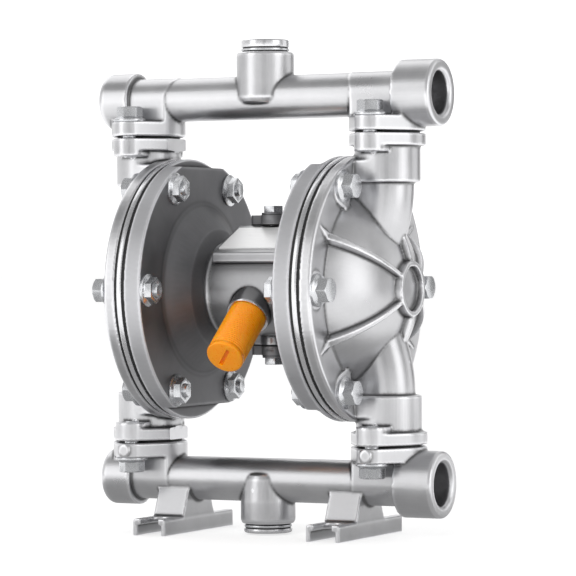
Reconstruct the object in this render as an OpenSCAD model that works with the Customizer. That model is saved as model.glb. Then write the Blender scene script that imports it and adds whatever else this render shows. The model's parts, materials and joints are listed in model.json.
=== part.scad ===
// Air-operated double diaphragm pump, half-inch ports, cast aluminium.
// X runs along the shaft and the manifolds, open ports at +X. -Y is the front, Z is up.
// The origin lies on the floor under the middle of the shaft.

/* [Pump] */
// Height of the shaft axis above the floor
shaft_h = 107.8; // [107.2:0.1:112]
// Distance from the pump's middle to each valve stack's axis
stack_x = 58.9; // [58.2:0.1:61]
// Distance from the shaft axis to each manifold tube's axis
tube_z = 84; // [83:0.1:86]
// Distance from the shaft axis to each fluid cap's flange face
joint_z = 66.9; // [66:0.1:68]
// Stroke of the shaft to each side
stroke = 5; // [3:0.5:6]

/* [Chamber discs] */
// Outer radius of the chamber flanges
disc_r = 57.7; // [57.2:0.1:60]
// Distance from the discs' edge in to the circle of chamber bolts
bolt_margin = 6.85; // [6.2:0.05:7.6]
// Number of bolts round each chamber
bolt_count = 6; // [6]
// Thickness of the air chamber's flange
air_flange_t = 7.85; // [6:0.05:9]
// Thickness of the fluid cap's flange
cap_flange_t = 5.2; // [4:0.1:7]
// Thickness of the diaphragm's clamped rim
diaphragm_t = 1.4; // [1:0.1:2]
// Thickness of the clamp ring between diaphragm and gasket
clamp_ring_t = 2.2; // [1.5:0.1:3]
// Thickness of the gasket under the fluid cap
rim_gasket_t = 1.3; // [1:0.1:2]
// How far the soft rims stay back from the disc's edge
soft_inset = 0.7; // [0.3:0.1:1]
// Width of the clamped rims
rim_w = 15.7; // [15:0.1:17.5]
// How much the flat at the top of the air chamber's flange takes off
top_flat_cut = 3.8; // [3:0.1:4.5]
// How much the flat at the bottom of the air chamber's flange takes off
bottom_flat_cut = 6.1; // [5:0.1:6.2]

/* [Air chamber] */
// Distance from the middle to the outer face of the air chamber's flange
air_face_x = 31.75; // [31:0.05:33]
// Half of the centre body's length along the shaft
body_x = 20.3; // [19:0.1:21]
// How far the bowl stays inside the clamped rims where it meets the flange
bowl_inset = 5.4; // [4:0.1:7]
// Width of the bowl's slope from the flange in to its ridge
bowl_slope_w = 8.9; // [8:0.1:10]
// Distance from the middle to the bowl's inner ridge
ridge_x = 24; // [23.5:0.1:25]
// Wall of the air chamber's bowl
bowl_wall = 4.2; // [3.5:0.1:5]

/* [Fluid cap] */
// Width of the flat annulus from the discs' edge in to the dome
annulus_w = 15.2; // [14.7:0.1:16.2]
// Height of the dome's edge above the annulus
dome_step = 2; // [1:0.1:3]
// Wall of the dome
dome_wall = 4; // [3:0.1:5]
// Radius of the hub ring on the dome
hub_r = 12; // [11:0.1:13]
// Distance from the middle to the hub's foot
hub_foot_x = 67.6; // [67:0.1:69]
// Height of the hub ring
hub_h = 3.4; // [2:0.1:5]
// Width of the hub ring's rim
hub_rim = 1.7; // [1.2:0.1:3]
// Depth of the recess in the hub
hub_recess = 2.6; // [1:0.1:2.8]
// Width of the dome's ribs
rib_w = 3; // [2:0.1:4]
// Height of the dome's ribs
rib_h = 1.6; // [1:0.1:2.5]
// Angle of the ribs from the horizontal
rib_angle = 30; // [29:1:31]
// Radius of the pockets round the bolts nearest the necks
pocket_r = 8.2; // [7.6:0.1:8.4]

/* [Valve stacks] */
// Outer radius of the valve housings
housing_r = 14.3; // [14:0.1:14.8]
// Outer radius of the necks below the housings
neck_r = 11.7; // [11.2:0.1:12.2]
// Wall of the necks
neck_wall = 3.2; // [2.5:0.1:3.6]
// Height of the joint where each neck starts to lean inwards
lean_z = 33; // [31:0.5:35]
// Angle at which the necks lean in towards the hub
lean_angle = 8; // [6:0.5:9]
// Wall of the housing round the valve
housing_wall = 3; // [2.5:0.1:3.2]
// Thickness of metal under the valve seat
housing_floor = 1.4; // [1:0.1:2]
// Radius of each valve ball
ball_r = 7.94; // [7.8:0.02:8]
// Lift of each valve ball
ball_lift = 3.7; // [3:0.1:4]
// Thickness of the valve seat
seat_t = 4; // [3.5:0.1:4.5]
// Radius of the seat's bore
seat_bore_r = 5.2; // [4.8:0.1:5.4]
// Radial clearance between ball and cage
ball_clearance = 0.4; // [0.35:0.05:0.6]
// Gap that the ball keeps to its seat and its stop
ball_gap = 0.1; // [0.05:0.05:0.2]
// Depth of the cage's stop bars
stop_bar_h = 2.6; // [2:0.1:3]
// Width of the cage's ribs and stop bars
cage_rib_w = 2.4; // [1.8:0.1:3]

/* [Flanges] */
// Radius of the round part of each flange
flange_r = 16.6; // [16.2:0.1:17]
// Distance from the stack's axis to each flange bolt
ear_y = 17.3; // [17:0.1:18]
// Radius of each flange's ears
ear_r = 7; // [6.8:0.1:7.4]
// Thickness of the fluid cap's flange plate
plate_t = 5.3; // [4.5:0.1:6]
// Depth of the fluid cap's ears
ear_t = 8.1; // [7.5:0.1:9]
// Thickness of the manifold's flange
flange_t = 6.5; // [6:0.1:7]
// Thickness of the gasket between the flanges
gasket_t = 1; // [0.8:0.1:1.4]
// How deep the valve stack stands in the manifold
spigot = 1.5; // [1:0.1:2]

/* [Manifolds] */
// Outer radius of the tubes
tube_r = 9.65; // [9.2:0.05:9.8]
// Radius of the bore in the tubes
tube_bore_r = 6.9; // [6:0.1:7.2]
// Radius of the passage down to each valve
duct_r = 7.6; // [7:0.1:8]
// Outer radius of the port collars
port_collar_r = 14.56; // [14:0.02:15]
// Length of the port collars
port_collar_l = 18.1; // [17:0.1:19]
// Distance from the middle to the face of the ports
port_face_x = 84.6; // [84:0.1:86]
// Core radius of the half-inch port thread
port_r = 9.3; // [9.1:0.02:9.5]
// Depth of the port thread
port_depth = 15; // [13:0.5:16]
// Chamfer at the mouth of the ports
port_chamfer = 1.2; // [0.8:0.1:1.6]
// Radius of the collar at the blind end
blind_r = 12.5; // [12:0.1:13]
// Length of the collar at the blind end
blind_l = 15; // [14:0.1:16]
// Distance from the middle to the blind end's face
blind_face_x = 78.5; // [78:0.1:80]
// Rounding of the blind end
blind_round = 3; // [2:0.5:4]

/* [Branch plugs] */
// Radius of the outlet's branch boss
outlet_boss_r = 12.7; // [12.4:0.1:13]
// Distance from the shaft axis to the end of the outlet's boss
outlet_boss_z = 103.9; // [103.5:0.1:105]
// Thickness of the outlet plug's head
outlet_plug_t = 3.3; // [2.5:0.1:4]
// Radius of the inlet's branch boss
inlet_boss_r = 12.05; // [12:0.05:12.5]
// Distance from the shaft axis to the end of the inlet's boss
inlet_boss_z = 103; // [102.5:0.1:103.2]
// Thickness of the inlet plug's head
inlet_plug_t = 1.9; // [1.5:0.1:2]
// Radius of the plugs' heads
plug_head_r = 10.6; // [10:0.1:11]
// Core radius of the plug thread
plug_r = 8.3; // [8:0.05:8.5]
// Length of the plug thread
plug_l = 9; // [7:0.5:10]
// Thickness of the plugs' steel washers
plug_washer_t = 1; // [0.8:0.1:1.2]
// Thickness of each seal beside a washer
plug_seal_t = 0.55; // [0.5:0.05:0.7]

/* [Feet] */
// Distance from the middle to each foot
foot_x = 42.2; // [41:0.1:43]
// Width of each foot
foot_w = 15.8; // [15:0.1:17]
// Length of each foot
foot_l = 64.2; // [60:0.2:70]
// Height of each foot's channel
foot_h = 7.6; // [7:0.1:8.5]
// Wall of each foot's sides
foot_wall = 2; // [1.6:0.1:2.5]
// Thickness of each foot's top
foot_top_t = 2.6; // [2:0.1:3]
// Width of the slots in the feet
slot_w = 8.6; // [7:0.1:9]
// Length of the slots in the feet
slot_l = 14; // [10:0.5:15]
// Width of the pedestals
pedestal_w = 15.4; // [14.5:0.1:15.8]
// Length of the pedestals at the bottom
pedestal_foot_l = 29.2; // [27:0.2:31]
// Length of the pedestals at the tube
pedestal_top_l = 18; // [17:0.2:18.6]

/* [Centre body] */
// Radius of the centre body's barrel
barrel_r = 20.5; // [20:0.1:21]
// Half of the label pad's length along the shaft
pad_x = 16.8; // [16:0.1:18]
// Distance from the shaft axis to the pad's front
pad_front = 20; // [19:0.1:21]
// Height of the foot of the pad's front
pad_foot_z = 12; // [11:0.1:13]
// Height of the top of the pad's front
pad_front_z = 16; // [15.5:0.1:17]
// Slope of the pad
pad_slope = 24.5; // [23:0.5:26]
// Length of the label plate up the slope
label_l = 21.5; // [18:0.5:21.5]
// Width of the label plate
label_w = 30; // [26:0.5:31]
// Thickness of the label plate
label_t = 0.5; // [0.3:0.1:0.8]
// Gap from the pad's front edge to the label plate
label_margin = 4; // [3:0.1:4.4]
// Distance from the shaft axis back to the valve's axis
valve_y = 19.5; // [19.2:0.1:20]
// Half of the valve block's width
block_x = 12; // [11.5:0.1:13]
// Half of the valve block's length
block_y = 12; // [11.5:0.1:12.4]
// Height of the block's top face
block_top = 28; // [27.9:0.1:29]
// Depth of the block's bottom face
block_bottom = 24.9; // [24:0.1:26]
// Distance from the valve's axis to each cover bolt
cover_bolt_y = 12.6; // [12.4:0.1:13]
// Radius of the cover's ears
cover_ear_r = 5.6; // [5.4:0.1:6]
// Thickness of the valve covers
cover_t = 4; // [3.5:0.1:5]
// Height of the pads under the cover bolts
cover_pad_t = 1.1; // [0.5:0.1:1.5]
// Thickness of the cover gaskets
cover_gasket_t = 0.5; // [0.4:0.1:0.8]

/* [Air valve] */
// Outer radius of the valve sleeve
sleeve_r = 8.2; // [8:0.05:8.3]
// Radius of the valve spool
spool_r = 6; // [5.5:0.1:6.2]
// Travel of the valve spool
spool_travel = 7; // [5:0.5:8]
// Radial clearance of the running fits
running_fit = 0.05; // [0.03:0.01:0.08]
// Width of the grooves round the spool
groove_w = 2; // [1.5:0.1:2.4]
// Radius of the pilot rod
pilot_r = 2.5; // [2:0.1:2.8]
// Height of the pilot rod above the shaft
pilot_z = 14; // [13.6:0.1:14.4]
// Radius of the air passages
passage_r = 2.4; // [2:0.1:2.5]

/* [Shaft] */
// Radius of the shaft
shaft_r = 8; // [7.5:0.1:8.2]
// Outer radius of the shaft bushes
bush_r = 10.5; // [10:0.1:10.8]
// Length of each shaft bush
bush_l = 7; // [5:0.5:8]
// Width of the shaft seals behind the bushes
seal_w = 2.4; // [2:0.1:3]
// Radius of the studs at the shaft's ends
stud_r = 5; // [4:0.1:5.5]
// Radius of the diaphragm washers
washer_r = 22; // [20:0.5:23]
// Thickness of the inner diaphragm washers
inner_washer_t = 3; // [2:0.1:4]
// Thickness of the outer diaphragm washers
outer_washer_t = 3; // [2:0.1:4]
// Width across flats of the shaft nuts
shaft_nut_af = 16; // [15:0.5:18]
// Thickness of the shaft nuts
shaft_nut_t = 6; // [5:0.5:7]

/* [Air inlet] */
// Sideways place of the air inlet
inlet_x = 1.5; // [0:0.1:2]
// Angle of the air inlet below the horizontal
inlet_angle = 38.7; // [37:0.1:40]
// Distance of the inlet's mouth from the shaft axis
inlet_mouth = 24.4; // [24:0.1:26]
// Offset of the inlet's axis above the shaft axis
inlet_offset = 4.4; // [4:0.1:5]
// Radius of the inlet's boss
air_boss_r = 9.4; // [9.2:0.1:10]
// Radius of the air inlet's plug
cap_plug_r = 8.3; // [8:0.05:8.4]
// Length of the plug outside the boss
cap_plug_out = 27.4; // [20:0.2:30]
// Length of the plug inside the boss
cap_plug_in = 7; // [5:0.5:7.5]
// Width of the slot in the plug's end
cap_slot_w = 1.6; // [1.2:0.1:2]

/* [Fasteners] */
// Radius of the bolts in the flanges and chambers
m6_r = 3; // [2.8:0.05:3.1]
// Width across flats of their heads
m6_af = 10; // [9.5:0.1:10.2]
// Radius of the flanges under their heads
m6_flange_r = 7.1; // [6.8:0.05:7.1]
// Thickness of the flanges under their heads
m6_flange_t = 2.2; // [1.5:0.1:2.5]
// Height of the hexagons above the flanges
m6_hex_h = 4.3; // [3.5:0.1:4.6]
// Length of the chamber bolts
chamber_bolt_l = 24; // [24:0.5:25.5]
// Height of the chamber nuts
chamber_nut_h = 4.6; // [4:0.1:5]
// Length of the manifold bolts
flange_bolt_l = 16; // [14:0.5:16]
// Radius of the valve cover bolts
m5_r = 2.5; // [2.3:0.1:2.6]
// Width across flats of the valve cover bolts
m5_af = 8; // [7.5:0.1:8.4]
// Height of the valve cover bolts' heads
m5_head_h = 3; // [2.5:0.1:3.5]
// Length of the valve cover bolts
m5_l = 14; // [12:0.5:15]
// Radial clearance of a bolt in its hole
bolt_clearance = 0.3; // [0.2:0.05:0.4]
// Radial clearance of a bolt in its thread
thread_clearance = 0.05; // [0.03:0.01:0.08]
// Radius of the screws that hold the air chambers
screw_r = 2; // [1.8:0.1:2.2]
// Radius of the circle of those screws
screw_circle_r = 15.7; // [15.4:0.1:16]
// Length of those screws
screw_l = 13; // [10:0.5:14]

/* [Exhaust] */
// Distance that the exhaust boss stands out of the valve block
exhaust_out = 6; // [4:0.5:8]
// Radius of the exhaust boss
exhaust_boss_r = 9; // [8.5:0.1:10]
// Radius of the silencer's thread
silencer_r = 5.8; // [5.4:0.1:6]
// Length of the silencer's thread
silencer_thread_l = 6; // [4:0.5:6.5]
// Width across flats of the silencer's hexagon
silencer_af = 15; // [14:0.5:16]
// Thickness of the silencer's hexagon
silencer_hex_h = 4; // [3:0.5:5]
// Length of the silencer's porous body
silencer_l = 9; // [6:0.5:12]

/* [Hidden] */
$fn = 64;
eps = 0.01;
// Stations along X of the stack of rims, from the air chamber outwards
diaphragm_x = air_face_x + air_flange_t;
ring_x = diaphragm_x + diaphragm_t;
gasket_x = ring_x + clamp_ring_t;
cap_x = gasket_x + rim_gasket_t;
annulus_x = cap_x + cap_flange_t;
// Radii and flats that follow the discs
bolt_circle_r = disc_r - bolt_margin;
mouth_r = disc_r - rim_w;
top_flat = disc_r - top_flat_cut;
bottom_flat = disc_r - bottom_flat_cut;
bowl_r = mouth_r - bowl_inset;
ridge_r = bowl_r - bowl_slope_w;
dome_r = disc_r - annulus_w;
// The dome is part of a sphere through its edge and the hub's foot
dome_edge_x = annulus_x + dome_step;
dome_c = (hub_foot_x ^ 2 + hub_r ^ 2 - dome_edge_x ^ 2 - dome_r ^ 2) / (2 * (hub_foot_x - dome_edge_x));
dome_ball_r = sqrt((hub_foot_x - dome_c) ^ 2 + hub_r ^ 2);
// Heights in the valve stacks, measured from the shaft axis
manifold_face_z = joint_z + gasket_t;
housing_bore_r = housing_r - housing_wall;
neck_bore_r = neck_r - neck_wall;
cone_h = seat_t - 1.5;
seat_mouth_r = seat_bore_r + cone_h - 0.2;
ball_rest = seat_t - cone_h + (ball_r * sqrt(2) - seat_bore_r) + ball_gap;
cage_h = ball_rest + ball_r + ball_lift + 3 * ball_gap + stop_bar_h - seat_t;
stack_h = seat_t + cage_h;
stack_top = manifold_face_z + spigot;
seat_z = stack_top - stack_h;
step_z = seat_z - housing_floor;
stack_fit = 0.1;
bolt_hole_r = m6_r + bolt_clearance;
neck_flat = ear_y - m6_flange_r - bolt_clearance;
plug_stack_t = plug_washer_t + 2 * plug_seal_t;
// The shaft's own stations
shoulder_x = diaphragm_x - inner_washer_t;
stud_end_x = ring_x + outer_washer_t + shaft_nut_t + 1;
pilot_half = shoulder_x - stroke / 2 - 0.4;
bolt_angles = [for (i = [0 : bolt_count - 1]) i * 360 / bolt_count];
// The boss under the cover's front bolt starts just behind the label plate
label_end_y = (label_margin + label_l) * cos(pad_slope) - pad_front;
boss_front_y = label_end_y + 0.3;
// The air passages to the chambers run between the bushes and the barrel's face
passage_y = barrel_r - passage_r - 2;

module at_shaft() translate([0, 0, shaft_h]) children();
module left() mirror([1, 0, 0]) children();
module below() mirror([0, 0, 1]) children();

// Turns a shape drawn round Z so that its axis lies along X
module along_x() rotate([0, 90, 0]) children();

// A straight pin or hole along X from x1 to x2
module x_pin(r, x1, x2) translate([x1, 0, 0]) along_x() cylinder(r = r, h = x2 - x1);

// A ring round X
module x_ring(outer, inner, x1, x2) difference() {
    x_pin(outer, x1, x2);
    x_pin(inner, x1 - 1, x2 + 1);
}

// Places its children at each chamber bolt, round the shaft axis
module at_chamber_bolts() for (a = bolt_angles) rotate([a, 0, 0]) translate([0, bolt_circle_r, 0]) children();

// Six-sided prism measured across its flats
module hexagon(af, h) cylinder(r = af / 2 / cos(30), h = h, $fn = 6);

// Disc with two ears joined by tangents
module eared_disc(r, ear, pitch) {
    lean = acos((r - ear) / pitch);
    circle(r = r);
    for (s = [-1, 1]) {
        translate([0, s * pitch]) circle(r = ear);
        polygon([
            [r * sin(lean), s * r * cos(lean)], [ear * sin(lean), s * (pitch + ear * cos(lean))],
            [-ear * sin(lean), s * (pitch + ear * cos(lean))], [-r * sin(lean), s * r * cos(lean)]
        ]);
    }
}

// Rectangle with round corners
module round_rect(w, l, r) {
    square([w - 2 * r, l], center = true);
    square([w, l - 2 * r], center = true);
    for (x = [-1, 1], y = [-1, 1]) translate([x * (w / 2 - r), y * (l / 2 - r)]) circle(r = r);
}

// Bolt with a flanged hexagon head above z = 0 and its shank below
module flange_bolt(length) {
    cylinder(r = m6_flange_r, h = m6_flange_t * 0.45);
    translate([0, 0, m6_flange_t * 0.45])
        cylinder(r1 = m6_flange_r, r2 = m6_af / 2, h = m6_flange_t * 0.55);
    intersection() {
        translate([0, 0, eps]) hexagon(m6_af, m6_flange_t + m6_hex_h - eps);
        cylinder(r1 = m6_flange_t + m6_hex_h + m6_af / 2, r2 = m6_af / 2 + 0.1, h = m6_flange_t + m6_hex_h);
    }
    translate([0, 0, -length + 0.6]) cylinder(r = m6_r, h = length - 0.6 + eps);
    translate([0, 0, -length]) cylinder(r1 = m6_r - 0.6, r2 = m6_r, h = 0.6);
}

// Nut with a flange at z = 0 and its hexagon above
module flange_nut() difference() {
    union() {
        cylinder(r = m6_flange_r, h = 0.8);
        translate([0, 0, 0.8]) cylinder(r1 = m6_flange_r, r2 = m6_af / 2, h = 1);
        translate([0, 0, eps]) hexagon(m6_af, chamber_nut_h - eps);
    }
    translate([0, 0, -1]) cylinder(r = m6_r + thread_clearance, h = chamber_nut_h + 2);
}

// Plain screw head and shank of the air chamber screws, head at x = 0 and tip towards -x
module chamber_screw() {
    x_pin(screw_r * 1.7, -screw_r, 0);
    x_pin(screw_r, -screw_l, -screw_r + eps);
}

module at_screws() for (a = [45 : 90 : 315]) rotate([a, 0, 0]) translate([0, screw_circle_r, 0]) children();

// Outer face of the bowl's floor inside the air chamber
bowl_floor_x = body_x + bowl_wall + 0.8;

// The air chamber: flange, bowl and hub round the shaft
module air_chamber() color([0.62, 0.62, 0.64]) difference() {
    union() {
        intersection() {
            x_pin(disc_r, air_face_x, diaphragm_x);
            translate([0, -disc_r, -bottom_flat])
                cube([diaphragm_x + 1, 2 * disc_r, bottom_flat + top_flat]);
        }
        x_ring(disc_r, mouth_r + 5, diaphragm_x - 2.5, diaphragm_x);
        along_x() rotate_extrude() polygon([
            [0, body_x], [barrel_r - 0.6, body_x], [barrel_r, body_x + 0.5], [ridge_r - 1.2, ridge_x - 0.5],
            [ridge_r, ridge_x + 0.4], [bowl_r - 1.2, air_face_x - 1.6], [bowl_r + 0.4, air_face_x - 0.5],
            [bowl_r + 2, air_face_x], [bowl_r + 2, air_face_x + 2], [0, air_face_x + 2]
        ]);
    }
    along_x() rotate_extrude() polygon([
        [0, bowl_floor_x], [ridge_r - bowl_wall, bowl_floor_x], [bowl_r - bowl_wall, air_face_x + 1.5],
        [mouth_r - 2, diaphragm_x - 3], [mouth_r, diaphragm_x - 1.5], [mouth_r, diaphragm_x + 1],
        [0, diaphragm_x + 1]
    ]);
    x_pin(shaft_r + 0.4, body_x - 1, bowl_floor_x + 1);
    translate([0, 0, pilot_z]) x_pin(pilot_r + 0.4, body_x - 1, bowl_floor_x + 1);
    translate([0, passage_y, 0]) x_pin(passage_r, body_x - 1, bowl_floor_x + 1);
    at_screws() x_pin(screw_r + bolt_clearance, body_x - 1, bowl_floor_x + 1);
    at_screws() x_pin(screw_r * 1.7 + bolt_clearance, bowl_floor_x - screw_r, bowl_floor_x + 1);
    at_chamber_bolts() x_pin(bolt_hole_r, air_face_x - 1, diaphragm_x + 1);
}

// The neck of radius r that leads from the valve housing down and inwards to the dome,
// its upper end at height top
module neck(r, top) {
    translate([stack_x, 0, lean_z]) cylinder(r = r, h = top - lean_z);
    translate([stack_x, 0, lean_z]) sphere(r = r);
    translate([stack_x, 0, lean_z]) rotate([0, 180 + lean_angle, 0]) cylinder(r = r, h = lean_z - hub_r + 6);
}

// One half of the fluid cap's flow passage with its valve housing and eared flange
module stack_outside() {
    translate([stack_x, 0, step_z]) cylinder(r = housing_r, h = joint_z - step_z);
    translate([stack_x, 0, joint_z - plate_t]) linear_extrude(plate_t) eared_disc(flange_r, ear_r, ear_y);
    translate([stack_x, 0, joint_z - ear_t]) linear_extrude(ear_t) for (s = [-1, 1]) {
        translate([0, s * ear_y]) circle(r = ear_r);
        translate([-ear_r, s > 0 ? 8 : -ear_y]) square([2 * ear_r, ear_y - 8]);
    }
    intersection() {
        neck(neck_r, step_z + 1);
        translate([cap_x, -disc_r, 0]) cube([stack_x, 2 * disc_r, joint_z]);
    }
    // Gusset from the rim out to the housing
    intersection() {
        translate([0, 0, lean_z - 8]) linear_extrude(disc_r - lean_z + 7.2) polygon([
            [cap_x, -19], [annulus_x, -19], [stack_x - 3, -housing_r + 0.2], [stack_x, -8],
            [stack_x, 8], [stack_x - 3, housing_r - 0.2], [annulus_x, 19], [cap_x, 19]
        ]);
        x_pin(disc_r - 0.5, cap_x, stack_x);
    }
}

module stack_inside() {
    translate([stack_x, 0, seat_z]) cylinder(r = housing_bore_r + stack_fit, h = joint_z - seat_z + 1);
    neck(neck_bore_r, seat_z + 1);
    for (s = [-1, 1]) translate([stack_x, s * ear_y, joint_z - ear_t - 1])
        cylinder(r = m6_r + thread_clearance, h = ear_t + 2);
}

// A rib from the hub over the dome and down onto the annulus, drawn along +Y
module dome_rib() {
    intersection() {
        translate([dome_c, 0, 0]) sphere(r = dome_ball_r + rib_h, $fn = 96);
        translate([cap_x + 1, hub_r - 2, -rib_w / 2]) cube([dome_ball_r, dome_r - hub_r + 6, rib_w]);
    }
    translate([annulus_x - 1, 0, 0]) rotate([90, 0, 90]) linear_extrude(rib_h + 1)
        polygon([[dome_r - 1, -rib_w / 2], [dome_r + 4, -rib_w / 2], [dome_r + 10, -rib_w * 1.3],
            [dome_r + 8.4, 0], [dome_r + 10, rib_w * 1.3], [dome_r + 4, rib_w / 2], [dome_r - 1, rib_w / 2]]);
}

// The fluid cap: rim, dome, ribs, hub and the two valve stacks above and below
module fluid_cap() color([0.78, 0.78, 0.8]) difference() {
    union() {
        difference() {
            union() {
                x_pin(disc_r, cap_x, annulus_x);
                intersection() {
                    translate([dome_c, 0, 0]) sphere(r = dome_ball_r, $fn = 96);
                    x_pin(dome_r, cap_x, hub_foot_x + 10);
                }
                stack_outside();
                below() stack_outside();
            }
            for (a = [60, 120, 240, 300]) rotate([a, 0, 0])
                translate([0, bolt_circle_r, 0]) x_pin(pocket_r, annulus_x, stack_x + housing_r);
        }
        for (a = [rib_angle, 180 - rib_angle, 180 + rib_angle, -rib_angle]) rotate([a, 0, 0]) dome_rib();
        x_pin(hub_r, hub_foot_x - 2, hub_foot_x + hub_h);
    }
    intersection() {
        translate([dome_c, 0, 0]) sphere(r = dome_ball_r - dome_wall, $fn = 96);
        x_pin(mouth_r, cap_x - 1, hub_foot_x);
    }
    x_pin(mouth_r, cap_x - 1, cap_x + 2);
    stack_inside();
    below() stack_inside();
    x_pin(hub_r - hub_rim, hub_foot_x + hub_h - hub_recess, hub_foot_x + hub_h + 1);
    at_chamber_bolts() x_pin(bolt_hole_r, cap_x - 1, annulus_x + 1);
}

module clamped_ring(outer, x1, x2) difference() {
    x_ring(outer, mouth_r, x1, x2);
    at_chamber_bolts() x_pin(bolt_hole_r, x1 - 1, x2 + 1);
}

// Rubber diaphragm with one rolling wave between its rim and the washers
module diaphragm() color([0.12, 0.12, 0.12]) difference() {
    wave_middle = (mouth_r + washer_r) / 2;
    wave_r = (mouth_r - washer_r) / 2 - 1;
    union() {
        x_pin(disc_r - soft_inset, diaphragm_x, ring_x);
        along_x() rotate_extrude() intersection() {
            translate([wave_middle, diaphragm_x]) circle(r = wave_r);
            translate([0, diaphragm_x]) square([mouth_r, wave_r]);
        }
    }
    along_x() rotate_extrude() translate([wave_middle, diaphragm_x]) circle(r = wave_r - diaphragm_t * 1.4);
    x_pin(stud_r + running_fit, diaphragm_x - 1, ring_x + 1);
    at_chamber_bolts() x_pin(bolt_hole_r, diaphragm_x - 1, ring_x + 1);
}

// Seat of a ball valve, its lower face at z = 0
module valve_seat() color([0.72, 0.73, 0.75]) difference() {
    cylinder(r = housing_bore_r, h = seat_t);
    translate([0, 0, -1]) cylinder(r = seat_bore_r, h = seat_t + 2);
    translate([0, 0, seat_t - cone_h]) cylinder(r1 = seat_bore_r, r2 = seat_mouth_r + 0.2, h = cone_h);
    translate([0, 0, seat_t - eps]) cylinder(r = seat_mouth_r + 0.2, h = 1);
}

// Cage that guides the ball between ribs and stops its lift at crossed bars
module ball_cage() color([0.9, 0.9, 0.88]) {
    inner = ball_r + ball_clearance;
    difference() {
        cylinder(r = housing_bore_r, h = cage_h);
        translate([0, 0, -1]) cylinder(r = housing_bore_r - 1.2, h = cage_h + 2);
    }
    for (a = [0 : 90 : 270]) rotate([0, 0, a + 45]) translate([inner, -cage_rib_w / 2, 0])
        cube([housing_bore_r - inner - 0.5, cage_rib_w, cage_h]);
    for (a = [0, 90]) rotate([0, 0, a + 45]) translate([-housing_bore_r + 0.5, -cage_rib_w / 2, cage_h - stop_bar_h])
        cube([2 * housing_bore_r - 1, cage_rib_w, stop_bar_h]);
}

module ball() color([0.93, 0.93, 0.9]) translate([0, 0, ball_rest]) sphere(r = ball_r);

// Where the upper and lower valve stacks start, on the right-hand side
module at_outlet_stack() translate([stack_x, 0, seat_z]) children();
module at_inlet_stack() translate([stack_x, 0, -stack_top]) children();

// Outer form of the manifold's neck at one end
module manifold_neck() {
    translate([stack_x, 0, manifold_face_z]) linear_extrude(flange_t) eared_disc(flange_r, ear_r, ear_y);
    intersection() {
        translate([stack_x, 0, manifold_face_z]) cylinder(r = flange_r, h = tube_z - manifold_face_z + neck_flat);
        union() {
            translate([0, 0, tube_z]) x_pin(neck_flat, 0, stack_x + 30);
            translate([0, -neck_flat, manifold_face_z]) cube([stack_x + 30, 2 * neck_flat, tube_z - manifold_face_z]);
        }
    }
}

module neck_ducts() for (s = [-1, 1]) translate([s * stack_x, 0, 0]) {
    translate([0, 0, manifold_face_z - 1]) cylinder(r = housing_bore_r + stack_fit, h = spigot + 1);
    translate([0, 0, manifold_face_z]) cylinder(r = duct_r, h = tube_z - manifold_face_z);
    for (y = [-ear_y, ear_y]) translate([0, y, manifold_face_z - 1]) cylinder(r = bolt_hole_r, h = flange_t + 2);
}

// Manifold with its open port at +X, a blind end at -X and a plugged branch in the middle;
// drawn for the top and turned over for the bottom
module manifold(boss_profile, boss_z) difference() {
    union() {
        translate([0, 0, tube_z]) x_pin(tube_r, -blind_face_x + blind_l / 2, port_face_x - port_collar_l / 2);
        translate([0, 0, tube_z]) along_x() rotate_extrude() polygon([
            [0, port_face_x - port_collar_l], [port_collar_r, port_face_x - port_collar_l],
            [port_collar_r, port_face_x - 0.8], [port_collar_r - 0.8, port_face_x], [0, port_face_x]
        ]);
        translate([0, 0, tube_z]) along_x() rotate_extrude() {
            polygon([
                [0, -blind_face_x], [blind_r - blind_round, -blind_face_x], [blind_r - blind_round, blind_round - blind_face_x],
                [blind_r, blind_round - blind_face_x], [blind_r, blind_l - blind_face_x], [0, blind_l - blind_face_x]
            ]);
            intersection() {
                translate([blind_r - blind_round, blind_round - blind_face_x]) circle(r = blind_round);
                translate([0, -blind_face_x]) square([blind_r, blind_l]);
            }
        }
        manifold_neck();
        left() manifold_neck();
        rotate_extrude() polygon(boss_profile);
    }
    translate([0, 0, tube_z]) x_pin(tube_bore_r, -blind_face_x + 6, port_face_x);
    translate([0, 0, tube_z]) x_pin(port_r, port_face_x - port_depth, port_face_x + 1);
    translate([port_face_x - port_chamfer, 0, tube_z]) along_x()
        cylinder(r1 = port_r, r2 = port_r + port_chamfer + 0.01, h = port_chamfer + 0.01);
    neck_ducts();
    translate([0, 0, tube_z]) cylinder(r = plug_r + thread_clearance, h = boss_z - tube_z + 1);
}

outlet_boss = [
    [0, tube_z], [tube_r - 1, tube_z - 3.1], [outlet_boss_r - 1.2, tube_z - 2.2], [outlet_boss_r, tube_z],
    [outlet_boss_r, outlet_boss_z - 0.8], [outlet_boss_r - 0.8, outlet_boss_z], [0, outlet_boss_z]
];
inlet_boss = [
    [0, tube_z], [tube_r - 1, tube_z - 3.4], [inlet_boss_r - 1.6, tube_z - 2.6], [inlet_boss_r - 0.8, tube_z - 0.6],
    [inlet_boss_r - 0.6, tube_z + 2], [inlet_boss_r, tube_z + 9], [inlet_boss_r, inlet_boss_z - 1.5],
    [inlet_boss_r - 0.9, inlet_boss_z], [0, inlet_boss_z]
];

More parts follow.
